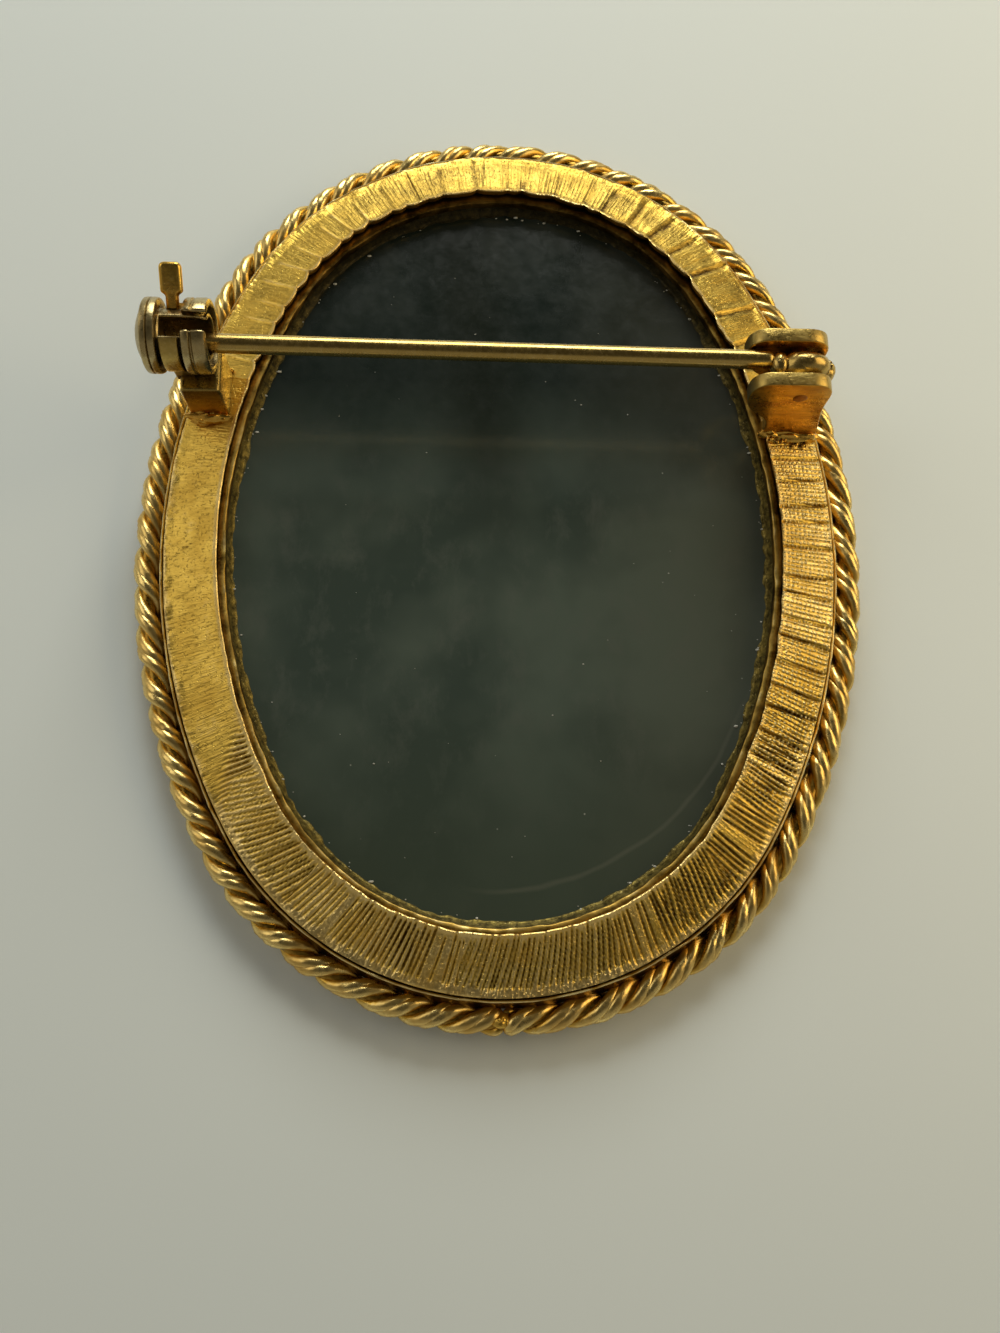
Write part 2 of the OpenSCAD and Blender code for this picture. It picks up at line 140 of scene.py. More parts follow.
def scatter(i, seed):
    """A random share from 0 to 1 for each whole number in i."""
    n = (np.asarray(i, dtype=np.int64) * 374761393 + seed * 668265263) & 0x7FFFFFFF
    n = ((n ^ (n >> 13)) * 1274126177) & 0x7FFFFFFF
    return ((n ^ (n >> 16)) & 0xFFFF) / 65535.0


def swell(x, y, seed, wrap=0):
    """Smooth random values from -1 to 1, one swell a unit. wrap closes them along x."""
    x, y = np.broadcast_arrays(np.asarray(x, float), np.asarray(y, float))
    xi = np.floor(x).astype(np.int64)
    yi = np.floor(y).astype(np.int64)
    fx = x - xi
    fy = y - yi
    fx = fx * fx * (3 - 2 * fx)
    fy = fy * fy * (3 - 2 * fy)

    def corner(i, j):
        column = xi + i
        if wrap:
            column = np.mod(column, wrap)
        return scatter(column + 7919 * (yi + j), seed) * 2 - 1

    low = corner(0, 0) * (1 - fx) + corner(1, 0) * fx
    high = corner(0, 1) * (1 - fx) + corner(1, 1) * fx
    return low * (1 - fy) + high * fy


def ring_swell(s, d, cell_s, cell_d, seed):
    """Smooth random values over a ring, with swells of these lengths along and across."""
    return swell(s / cell_s, d / cell_d, seed, int(round(RUN / cell_s)))


def waver(s, *waves):
    """A sum of random waves along a ring, each with its height, length and seed."""
    return sum(height * ring_swell(s, 0.0, length, 1.0, seed) for height, length, seed in waves)


def packet(s, length, seed):
    """A random share from 0 to 1 for each packet of strokes along the run."""
    count = int(round(RUN / length))
    place = s * count / RUN + 0.3 * ring_swell(s, 0.0, length * 1.7, 1.0, seed + 9)
    return scatter(np.mod(np.floor(place), count).astype(np.int64), seed)


def step(low, high, x):
    """A smooth step from 0 at low to 1 at high."""
    t = np.clip((x - low) / (high - low), 0.0, 1.0)
    return t * t * (3 - 2 * t)


def near(away, reach):
    """1 where away is 0, falling off on both sides over reach."""
    return np.exp(-(away / reach) ** 2)


def along_run(s, start, end, soft):
    """1 between two places on the run, fading over soft at both ends."""
    middle = (start + end) / 2
    half = (end - start) / 2
    away = np.abs(np.mod(s - middle + RUN / 2, RUN) - RUN / 2)
    return 1 - step(half - soft / 2, half + soft / 2, away)


# Mesh making. A shape is a pair: points in millimetres, and faces

def face_outwards(mesh, merge=0.0):
    """Turns a mesh's faces outwards, once points closer than merge are one."""
    work = bmesh.new()
    work.from_mesh(mesh)
    if merge:
        bmesh.ops.remove_doubles(work, verts=work.verts, dist=merge)
    bmesh.ops.recalc_face_normals(work, faces=work.faces)
    work.to_mesh(mesh)
    work.free()


def make_object(name, shape, material, values=None, sharp=40):
    """A smooth mesh object of a shape, with per-point values by name."""
    verts, faces = shape
    mesh = bpy.data.meshes.new(name)
    points = np.asarray(verts, float) * MM
    mesh.from_pydata(points.tolist(), [], [list(map(int, f)) for f in faces])
    mesh.update()
    face_outwards(mesh)
    mesh.shade_smooth()
    mesh.set_sharp_from_angle(angle=math.radians(sharp))
    for key, data in (values or {}).items():
        layer = mesh.attributes.new(key, "FLOAT", "POINT")
        layer.data.foreach_set("value", np.asarray(data, np.float32).ravel())
    mesh.materials.append(material)
    obj = bpy.data.objects.new(name, mesh)
    bpy.context.scene.collection.objects.link(obj)
    return obj


def grid_faces(rows, cols, close_rows=True, close_cols=True):
    """Quads over a grid of points, closed on itself either way."""
    r = np.arange(rows if close_rows else rows - 1)
    c = np.arange(cols if close_cols else cols - 1)
    i, j = np.meshgrid(r, c, indexing="ij")
    up = (i + 1) % rows
    right = (j + 1) % cols
    quads = np.stack([i * cols + j, i * cols + right, up * cols + right, up * cols + j], -1)
    return quads.reshape(-1, 4).tolist()


def capped_faces(rows, cols):
    """Quads over rings of points, with a face over the first ring and over the last."""
    faces = grid_faces(rows, cols, False, True)
    faces.append(list(range(cols))[::-1])
    faces.append([(rows - 1) * cols + k for k in range(cols)])
    return faces


def joined(parts):
    """Several shapes as one."""
    verts = []
    faces = []
    for part_verts, part_faces in parts:
        shift = len(verts)
        verts.extend(np.asarray(part_verts).tolist())
        faces.extend([[i + shift for i in f] for f in part_faces])
    return verts, faces


def tube(centres, radii, sides, closed=False):
    """Round sections along a path, with end caps where it is open."""
    centres = np.asarray(centres, float)
    count = len(centres)
    if closed:
        along = np.roll(centres, -1, 0) - np.roll(centres, 1, 0)
    else:
        along = np.gradient(centres, axis=0)
    along /= np.linalg.norm(along, axis=1)[:, None]
    side = np.cross(along, np.broadcast_to([0.0, 0.0, 1.0], along.shape))
    side /= np.linalg.norm(side, axis=1)[:, None]
    lift = np.cross(side, along)
    t = np.arange(sides) * 2 * math.pi / sides
    ring = (np.cos(t)[None, :, None] * side[:, None, :] + np.sin(t)[None, :, None] * lift[:, None, :])
    verts = centres[:, None, :] + ring * np.asarray(radii, float)[:, None, None]
    faces = grid_faces(count, sides) if closed else capped_faces(count, sides)
    return verts.reshape(-1, 3), faces


def rounded(corners, steps=4):
    """A closed outline whose corners (x, y, radius) are rounded."""
    points = []
    for i, (x, y, radius) in enumerate(corners):
        p = np.array([x, y], float)
        before = np.array(corners[i - 1][:2], float) - p
        after = np.array(corners[(i + 1) % len(corners)][:2], float) - p
        reach = min(radius, 0.49 * np.linalg.norm(before), 0.49 * np.linalg.norm(after))
        if reach < 1e-4:
            points.append(p)
            continue
        start = p + before / np.linalg.norm(before) * reach
        end = p + after / np.linalg.norm(after) * reach
        for k in range(steps + 1):
            t = k / steps
            points.append((1 - t) ** 2 * start + 2 * t * (1 - t) * p + t * t * end)
    return np.array(points)


def inset(outline, r):
    """The outline moved inwards by r, for small r. The outline runs anticlockwise."""
    normals = []
    for edge in (outline - np.roll(outline, 1, 0), np.roll(outline, -1, 0) - outline):
        normal = np.stack([-edge[:, 1], edge[:, 0]], 1)
        normals.append(normal / (np.linalg.norm(normal, axis=1)[:, None] + 1e-9))
    mean = normals[0] + normals[1]
    mean /= np.linalg.norm(mean, axis=1)[:, None] + 1e-9
    stretch = 1 / np.clip((mean * normals[1]).sum(1), 0.5, 1)
    return outline + mean * (r * stretch)[:, None]


def slab(outline, low, high, r, place, steps=4):
    """A plate of an outline between two levels, its edges rounded by r. place sets its axes."""
    x, y = outline.T
    if np.sum(x * np.roll(y, -1) - np.roll(x, -1) * y) < 0:
        outline = outline[::-1]
    bends = [math.pi / 2 * k / steps for k in range(steps + 1)]
    rings = [(inset(outline, r * (1 - math.sin(t))), low + r * (1 - math.cos(t))) for t in bends]
    rings += [(inset(outline, r * (1 - math.cos(t))), high - r * (1 - math.sin(t))) for t in bends]
    n = len(outline)
    verts = [place(ring[:, 0], ring[:, 1], np.full(n, level)) for ring, level in rings]
    return np.concatenate(verts), capped_faces(len(rings), n)


def in_order(*order):
    """A slab's place whose x, y and z are its coordinates of these numbers."""
    return lambda *coordinates: np.stack([coordinates[k] for k in order], 1)


UPRIGHT = in_order(0, 2, 1)
ACROSS = in_order(2, 0, 1)
FLAT = in_order(0, 1, 2)


def lathe(section, sides, y, z):
    """A closed section of (radius, x) turned about an axis along X."""
    t = np.arange(sides) * 2 * math.pi / sides
    r = section[:, 0][None, :]
    x = np.broadcast_to(section[:, 1][None, :], (sides, len(section)))
    verts = np.stack([x, y + r * np.sin(t)[:, None], z + r * np.cos(t)[:, None]], -1)
    return verts.reshape(-1, 3), grid_faces(sides, len(section))


def lump(centre, radii, seed, rough=0.12, rows=18, cols=28):
    """A rounded blob of solder or dirt."""
    lat = (np.arange(rows) + 0.5) / rows * math.pi
    lon = np.arange(cols) * 2 * math.pi / cols
    lat, lon = np.meshgrid(lat, lon, indexing="ij")
    swollen = 1 + rough * swell(lon * 4 / math.pi, lat * 2.4, seed, 8)
    swollen += 0.5 * rough * swell(lon * 10 / math.pi, lat * 6, seed + 1, 20)
    ball = np.stack([np.sin(lat) * np.cos(lon), np.sin(lat) * np.sin(lon), np.cos(lat)], -1)
    verts = np.asarray(centre, float) + np.asarray(radii, float) * swollen[:, :, None] * ball
    return verts.reshape(-1, 3), capped_faces(rows, cols)


def stations(count):
    """Evenly spaced places on the run, as a column."""
    return (HINGE_RUN + np.arange(count) * RUN / count)[:, None]


def ring_piece(name, s, d, z, material, values=None, sharp=40):
    """A closed ring: at each place s on the run, a section of outward offsets d and heights z."""
    x, y = oval(turn(s, 0.0), d)
    points = np.stack([x, y, np.broadcast_to(z, x.shape)], -1)
    return make_object(name, (points.reshape(-1, 3), grid_faces(*x.shape)), material, values, sharp)


# Materials

class Paint:
    """One material's node tree, with short calls to add nodes and link them."""

    def __init__(self, name):
        self.material = bpy.data.materials.new(name)
        self.material.use_nodes = True
        self.tree = self.material.node_tree
        self.tree.nodes.clear()
        output = self.tree.nodes.new("ShaderNodeOutputMaterial")
        self.shader = self.tree.nodes.new("ShaderNodeBsdfPrincipled")
        self.tree.links.new(self.shader.outputs["BSDF"], output.inputs["Surface"])
        self.place = self.add("ShaderNodeTexCoord").outputs["Object"]

    def add(self, kind, inputs=None, **settings):
        """A node with its settings, and its inputs linked or set."""
        node = self.tree.nodes.new(kind)
        for key, value in settings.items():
            setattr(node, key, value)
        for key, value in (inputs or {}).items():
            self.put(node.inputs[key], value)
        return node

    def put(self, socket, value):
        """Links an output to a socket, or sets the socket's value. Colours have three numbers."""
        if isinstance(value, bpy.types.NodeSocket):
            self.tree.links.new(value, socket)
        elif socket.type == "RGBA":
            socket.default_value = (*value, 1.0)
        else:
            socket.default_value = value

    def set(self, key, value):
        """Sets or links one of the shader's inputs."""
        self.put(self.shader.inputs[key], value)

    def along(self, axis, where=None, unit=MM):
        """How far a place lies along an axis, in this unit."""
        split = self.add("ShaderNodeSeparateXYZ", {"Vector": where or self.place})
        return self.math("DIVIDE", split.outputs[axis], unit)

    def noise(self, cell_mm, detail=2.0, rough=0.5, warp=0.0, where=None):
        """Noise from 0 to 1, whose swells are about cell_mm across."""
        return self.add("ShaderNodeTexNoise", {
            "Vector": where or self.place, "Scale": 1 / (cell_mm * MM), "Detail": detail,
            "Roughness": rough, "Distortion": warp}).outputs["Fac"]

    def stretched(self, where, x, y, z):
        """A place whose three axes are scaled apart."""
        return self.add("ShaderNodeMapping", {"Vector": where, "Scale": (x, y, z)}).outputs["Vector"]

    def value(self, name):
        """A per-point value of the mesh."""
        return self.add("ShaderNodeAttribute", attribute_name=name).outputs["Fac"]

    def remap(self, value, low, high, to_low=0.0, to_high=1.0):
        """A value stretched from one range to another, and clamped."""
        return self.add("ShaderNodeMapRange", {
            "Value": value, "From Min": low, "From Max": high, "To Min": to_low,
            "To Max": to_high}).outputs["Result"]

    def math(self, kind, a, b=0.0):
        """A sum, product and so on of two values."""
        return self.add("ShaderNodeMath", {0: a, 1: b}, operation=kind).outputs[0]

    def times(self, a, b):
        """The product of two values."""
        return self.math("MULTIPLY", a, b)

    def plus(self, a, b):
        """The sum of two values."""
        return self.math("ADD", a, b)

    def minus(self, a, b):
        """The difference of two values."""
        return self.math("SUBTRACT", a, b)

    def mix(self, share, a, b):
        """Two colours mixed by share."""
        return self.add("ShaderNodeMix", data_type="RGBA", inputs={0: share, 6: a, 7: b}).outputs[2]

    def coat(self, share, colour):
        """Lays a colour over the base colour, by share."""
        base = self.shader.inputs["Base Color"]
        below = base.links[0].from_socket if base.is_linked else base.default_value[:3]
        self.put(base, self.mix(share, below, colour))

    def bump(self, height, depth_mm, strength=1.0):
        """Links a bump of a height from 0 to 1 to the shader's normal, over earlier ones."""
        node = self.add("ShaderNodeBump", {
            "Height": height, "Strength": strength, "Distance": depth_mm * MM})
        earlier = self.shader.inputs["Normal"]
        if earlier.is_linked:
            self.put(node.inputs["Normal"], earlier.links[0].from_socket)
        self.put(earlier, node.outputs["Normal"])


# Gilt metals: roughness, strength of the pits, depth of the waves, reach of the worn edges (0 where
# the mesh has its own tone), and the colours of dirt, metal, worn edges and stains
# The reach's occlusion darkens hollows as dirt; at the fittings' 1.5 mm it also paints shade under the
# catch's discs.
GILTS = {
    "gilt_flange": (0.36, 0.5, 0.03, 0, (0.10, 0.050, 0.007), (0.77, 0.52, 0.100),
                    (0.99, 0.74, 0.30), (0.66, 0.40, 0.060)),
    "gilt_bezel": (0.40, 0.3, 0.03, 0, (0.055, 0.030, 0.006), (0.56, 0.37, 0.085),
                   (0.90, 0.70, 0.30), (0.48, 0.28, 0.06)),
    "gilt_rim": (0.30, 0.3, 0.03, 0, (0.05, 0.024, 0.005), (0.58, 0.37, 0.08),
                 (0.95, 0.78, 0.38), (0.46, 0.28, 0.07)),
    "gilt_rope": (0.29, 0.25, 0.03, 0, (0.13, 0.058, 0.008), (0.78, 0.50, 0.095),
                  (0.96, 0.72, 0.27), (0.62, 0.34, 0.05)),
    "gilt_fitting": (0.28, 0.4, 0.03, 1.5, (0.07, 0.036, 0.007), (0.56, 0.38, 0.10),
                     (0.94, 0.76, 0.36), (0.42, 0.31, 0.10)),
    "gilt_rivet": (0.34, 0.5, 0.03, 0.6, (0.05, 0.012, 0.004), (0.34, 0.13, 0.02),
                   (0.62, 0.34, 0.09), (0.20, 0.05, 0.01)),
    "gilt_solder": (0.20, 0.5, 0.03, 0.6, (0.16, 0.07, 0.010), (0.82, 0.50, 0.09),
                    (0.98, 0.78, 0.36), (0.66, 0.28, 0.035)),
    "gilt_wire": (0.22, 0.08, 0.008, 0.6, (0.14, 0.085, 0.022), (0.58, 0.40, 0.12),
                  (0.88, 0.70, 0.36), (0.48, 0.33, 0.10)),
    "catch_metal": (0.27, 0.3, 0.03, 0.6, (0.10, 0.065, 0.022), (0.50, 0.38, 0.17),
                    (0.86, 0.73, 0.45), (0.38, 0.30, 0.15))}


def worn_gilt(name):
    """Gilt metal: dark where dirt stays or shade is painted, bright where it is rubbed or a highlight is
    painted, mottled and pitted.
    """
    rough, pits, waves, reach, dirt, metal, worn, stain = GILTS[name]
    paint = Paint(name)
    paint.set("Metallic", 1.0)
    mottle = paint.noise(1.7, 4.0, 0.6, 0.4)
    grain = paint.noise(0.16, 3.0, 0.7)
    # Occlusion darkens hollows: dirt, and with the fittings' longer reach also painted shade.
    if reach:
        open_sky = paint.add("ShaderNodeAmbientOcclusion", {"Distance": reach * MM}, samples=6)
        wear_and_shading = paint.times(open_sky.outputs["AO"], 0.66)
    else:
        wear_and_shading = paint.value("tone")
    wear_and_shading = paint.plus(wear_and_shading, paint.times(paint.minus(grain, 0.5), 0.5))
    paint.set("Base Color", dirt)
    paint.coat(paint.remap(wear_and_shading, 0.1, 0.55), metal)
    paint.coat(paint.remap(wear_and_shading, 0.65, 1.05), worn)
    paint.coat(paint.remap(mottle, 0.42, 0.66, 0.0, 0.55), stain)
    paint.set("Roughness", paint.plus(paint.remap(mottle, 0.3, 0.7, rough - 0.06, rough + 0.08),
                                      paint.remap(grain, 0.3, 0.7, -0.05, 0.07)))
    paint.bump(paint.noise(0.5, 3.0, 0.6), waves, 0.5)
    paint.bump(grain, 0.012, pits)
    return paint


def orange_fittings_and_shade(paint):
    """An orange colour on the faces to -Y, painted shade on them under the catch, and fine scratches."""
    facing = paint.along("Y", paint.add("ShaderNodeTexCoord").outputs["Normal"], 1.0)
    x = paint.along("X")
    z = paint.along("Z")
    streaks = paint.noise(0.9, 4.0, 0.7, 0.4, paint.stretched(paint.place, 0.4, 1.0, 1.7))
    orange_and_shade = paint.mix(paint.remap(streaks, 0.35, 0.62), (0.50, 0.20, 0.015), (0.90, 0.48, 0.050))
    by_catch = paint.remap(x, 0.0, -1.0)
    # Painted shade: by the catch the faces darken upwards, under the spool's discs.
    painted_shade = paint.times(by_catch, paint.remap(z, 3.8, 5.5, 0.0, 0.9))
    orange_and_shade = paint.mix(painted_shade, orange_and_shade, (0.04, 0.016, 0.004))
    below = paint.math("MAXIMUM", paint.remap(z, 5.9, 5.7), paint.minus(1.0, by_catch))
    paint.coat(paint.times(paint.remap(facing, -0.55, -0.90, 0.0, 0.85), below), orange_and_shade)
    scratches = paint.noise(0.12, 3.0, 0.7, 0.0, paint.stretched(paint.place, 0.25, 1.0, 1.0))
    paint.bump(paint.remap(scratches, 0.55, 0.70), -0.01, 0.4)


def brush_flange(paint):
    """Brushing across the flange, beads along the dotted cuts painted bright, and small pits."""
    run = paint.add("ShaderNodeAttribute", attribute_name="run").outputs["Vector"]
    brushed = paint.noise(1.0, 2.0, 0.6, 0.0, paint.stretched(run, 0.009, 0.0009, 1.0))
    paint.bump(paint.remap(brushed, 0.3, 0.7), 0.02, 0.6)
    beads = paint.add("ShaderNodeTexVoronoi", {
        "Vector": paint.stretched(run, 4.761, 4.2, 1.0), "Scale": 1.0, "Randomness": 0.3})
    bead = paint.times(paint.remap(beads.outputs["Distance"], 0.40, 0.14), paint.value("dots"))
    paint.bump(bead, 0.06, 1.0)
    # The beads are painted bright gold: rubbed gilt and painted glints.
    paint.coat(paint.times(bead, 0.75), (1.0, 0.84, 0.42))
    paint.bump(paint.remap(paint.noise(0.13, 1.0, 0.5), 0.62, 0.72), -0.03, 0.6)


# Half sizes of the oval that a faint pale arc on the stone's back follows
ARC_HALF_W = 13.6
ARC_HALF_L = 17.5


def stone_paint():
    """Dark green-grey layered stone: cloudy, with a darker column and a pale haze at the top painted as
    reflections, painted shade towards the top, painted warm lamp light to the right, a pale arc and specks.
    """
    paint = Paint("stone_dark")
    x = paint.along("X")
    y = paint.along("Y")
    wisp = paint.noise(2.0, 5.0, 0.7, 0.2, paint.stretched(paint.place, 1.4, 0.8, 1.0))
    paint.set("Base Color", (0.046, 0.066, 0.055))
    paint.coat(paint.remap(paint.noise(6.5, 3.0, 0.5, 0.1), 0.38, 0.62), (0.086, 0.112, 0.092))
    paint.coat(paint.remap(wisp, 0.50, 0.72, 0.0, 0.6), (0.098, 0.114, 0.098))
    paint.coat(paint.remap(y, -8.0, -16.0, 0.0, 0.75), (0.046, 0.062, 0.044))
    # Painted shade: darker towards the top.
    paint.coat(paint.remap(y, 1.0, 9.0, 0.0, 0.92), (0.006, 0.012, 0.010))
    # Painted light: warmer to the right, as from the warm lamp.
    paint.coat(paint.remap(x, 3.0, 12.0, 0.0, 0.35), (0.085, 0.075, 0.048))

    # Painted reflections: a pale haze at the top and a dark column down the middle.
    painted_pale_reflection = paint.times(paint.remap(y, 6.0, 16.0),
                       paint.remap(paint.noise(3.4, 3.0, 0.6, 0.5), 0.44, 0.68))
    paint.coat(paint.times(painted_pale_reflection, 0.55), (0.050, 0.060, 0.056))
    off_painted_reflection = paint.math("ABSOLUTE", paint.plus(x, paint.times(y, 0.13)))
    column = paint.times(paint.minus(1.0, paint.remap(off_painted_reflection, 0.4, 3.2)), paint.remap(y, -1.0, 6.0))
    paint.coat(paint.times(column, 0.7), (0.010, 0.014, 0.009))

    shares = [paint.math("DIVIDE", v, half) for v, half in ((x, ARC_HALF_W), (y, ARC_HALF_L))]
    from_middle = paint.math("SQRT", paint.plus(*[paint.times(v, v) for v in shares]))
    wander = paint.times(paint.minus(paint.noise(3.0, 2.0), 0.5), 0.03)
    off_arc = paint.math("ABSOLUTE", paint.minus(paint.plus(from_middle, wander), 1.0))
    lower_right = paint.times(paint.remap(y, -7.0, -10.0), paint.remap(x, -2.0, 0.5))
    on_arc = paint.times(paint.remap(off_arc, 0.010, 0.002), lower_right)
    paint.coat(paint.times(on_arc, 0.30), (0.15, 0.155, 0.12))

    specks = paint.add("ShaderNodeTexVoronoi", {
        "Vector": paint.place, "Scale": 900.0, "Randomness": 1.0})
    chosen = paint.remap(paint.noise(1.1, 1.0), 0.60, 0.70)
    speck = paint.times(paint.remap(specks.outputs["Distance"], 0.05, 0.02), chosen)
    paint.coat(paint.times(speck, 0.8), (0.42, 0.43, 0.38))
    rub = paint.noise(0.9, 5.0, 0.75, 0.3)
    paint.set("Roughness", paint.remap(rub, 0.3, 0.75, 0.13, 0.24))
    paint.set("IOR", 1.54)
    paint.bump(rub, 0.005, 0.3)
    return paint.material


def carving_paint():
    """Warm white layer: satin, darker in its cuts and thin at its edges."""
    paint = Paint("carving_white")
    paint.set("Base Color", (0.36, 0.34, 0.29))
    paint.coat(paint.remap(paint.value("thick"), 0.12, 0.55), (0.80, 0.74, 0.64))
    paint.coat(paint.remap(paint.noise(4.0, 4.0, 0.6, 0.5), 0.4, 0.7, 0.0, 0.4), (0.86, 0.79, 0.68))
    paint.coat(paint.remap(paint.value("tone"), 0.0, 0.6, 0.45, 0.0), (0.34, 0.27, 0.19))
    paint.set("Roughness", paint.remap(paint.noise(0.5, 3.0), 0.3, 0.7, 0.30, 0.44))
    paint.set("Subsurface Weight", 0.12)
    paint.set("Subsurface Radius", (0.0006, 0.0005, 0.0004))
    paint.bump(paint.noise(0.18, 3.0), 0.006, 0.4)
    return paint.material


def cement_paint():
    """Old gold-coloured cement round the stone: rough and greenish, with painted shade darkening it towards
    the top.
    """
    paint = Paint("cement_gold")
    lumps = paint.noise(0.35, 4.0, 0.7)
    paint.set("Base Color", (0.060, 0.046, 0.010))
    paint.coat(paint.remap(lumps, 0.38, 0.68), (0.34, 0.25, 0.055))
    paint.coat(paint.remap(paint.noise(0.12, 2.0), 0.64, 0.76), (0.66, 0.52, 0.20))
    # Painted shade: darker towards the top.
    paint.coat(paint.remap(paint.along("Y"), 3.0, 14.0, 0.0, 0.88), (0.012, 0.010, 0.004))
    paint.set("Metallic", 0.75)
    paint.set("Roughness", paint.remap(lumps, 0.3, 0.7, 0.55, 0.36))
    paint.bump(lumps, 0.08, 0.7)
    return paint.material


def dust_paint():
    """Pale crumbs of dust and old polish."""
    paint = Paint("dust_pale")
    paint.set("Base Color", (0.42, 0.42, 0.36))
    paint.coat(paint.noise(0.2), (0.75, 0.74, 0.68))
    paint.set("Roughness", paint.remap(paint.noise(0.1), 0.3, 0.7, 0.7, 0.9))
    return paint.material


def floor_paint():
    """The plain pale floor."""
    paint = Paint("floor_pale")
    cloud = paint.noise(40.0, 3.0, 0.5)
    paint.set("Base Color", (0.85, 0.92, 0.93))
    paint.coat(cloud, (0.89, 0.95, 0.96))
    paint.set("Roughness", paint.remap(cloud, 0.3, 0.7, 0.62, 0.7))
    return paint.material


gilt_paints = {name: worn_gilt(name) for name in GILTS}
brush_flange(gilt_paints["gilt_flange"])
orange_fittings_and_shade(gilt_paints["gilt_fitting"])
METAL = {name: paint.material for name, paint in gilt_paints.items()}


# Flange: a conical sheet with worked bands on its upper side

# Zones of its face, from the middle of the right side over the top: start, end, and how softly
# they fade
ZONES = {
    "block": (8.6, 21.0, 2.0), "top": (20.0, 33.5, 3.0), "ridge": (33.0, 45.6, 3.0),
    "satin": (46.5, 64.2, 1.0), "satin_end": (46.5, 69.0, 1.0), "painted_shade_low_right": (86.0, 101.0, 7.0),
    "dotted": (95.0, RUN + 5.6, 4.0)}

# Kinds of stroke across the flange: pitch, half width, seed, lean, random slant, share that is
# there, where they start and end across the flange, and their lift and tone
STROKES = {
    "fine": (0.24, 0.080, 11, 0.0, 0.03, 0.97, 0.02, 2.8, -0.085, -0.24),
    "top_fine": (0.18, 0.055, 15, 0.0, 0.02, 0.95, -0.2, 2.5, -0.022, -0.20),
    "dotted": (0.21, 0.062, 31, 0.0, 0.02, 0.98, 0.0, 2.85, -0.045, -0.20),
    "deep": (1.2, 0.14, 51, 0.03, 0.10, 0.96, -0.3, 3.3, -0.16, -0.85),
    "some_deep": (0.85, 0.07, 61, 0.0, 0.05, 0.45, 0.0, 2.6, -0.04, -0.30),
    "top_deep": (1.5, 0.07, 67, 0.0, 0.10, 0.4, 0.2, 2.6, -0.03, -0.10),
    "seam": (1.45, 0.24, 71, 0.0, 0.10, 0.95, -0.6, 2.7, -0.09, -0.38),
    "ridge": (1.12, 0.13, 81, 0.0, 0.12, 1.0, -0.4, 2.3, 0.06, 0.46),
    "streak": (0.75, 0.08, 91, 0.45, 0.20, 0.6, 0.2, 2.5, -0.018, -0.24)}


# Fine cuts fill the lower left: they start along a slanting line and end at the bottom
LOW_START = 63.0
LOW_LEAN = 1.2
LOW_END = (96.0, 99.5)


def cuts(s, d, kind, half_width=0.0):
    """How deep, from 0 to 1, strokes of a kind go: one a pitch, each with its slant and reach."""
    pitch, width, seed, lean, slant, keep, start, end = STROKES[kind][:8]
    count = int(round(RUN / pitch))
    spacing = RUN / count
    cell = np.floor(s / spacing)
    depth = np.zeros(np.broadcast(s, d).shape)
    stray = 0.26 if pitch < 0.5 else 0.40
    for beside in (-2, -1, 0, 1, 2):
        i = np.mod(cell + beside, count).astype(np.int64)
        centre = (cell + beside + 0.5 + stray * (scatter(i, seed) - 0.5)) * spacing
        line = centre + (lean + slant * (2 * scatter(i, seed + 1) - 1)) * (d - FLANGE_W / 2)
        first = start + 0.35 * scatter(i, seed + 2)
        last = end - 0.5 * scatter(i, seed + 3)
        reach = step(first - 0.1, first + 0.1, d) * (1 - step(last - 0.15, last + 0.15, d))
        kept = (scatter(i, seed + 4) < keep) * (0.65 + 0.35 * scatter(i, seed + 5))
        shape = np.clip(1 - np.abs(s - line) / (half_width or width), 0, 1)
        depth = np.maximum(depth, kept * reach * shape)
    return depth


def block_levels(s):
    """Small level differences between the blocks that seams part, from -1 to 1."""
    pitch, _, seed = STROKES["seam"][:3]
    count = int(round(RUN / pitch))
    cell = np.floor(s / (RUN / count))
    i = np.mod(cell, count).astype(np.int64)
    share = s / (RUN / count) - cell
    return (2 * scatter(i, seed) - 1) * 0.6 + (share - 0.5) * (2 * scatter(i, seed + 1) - 1)


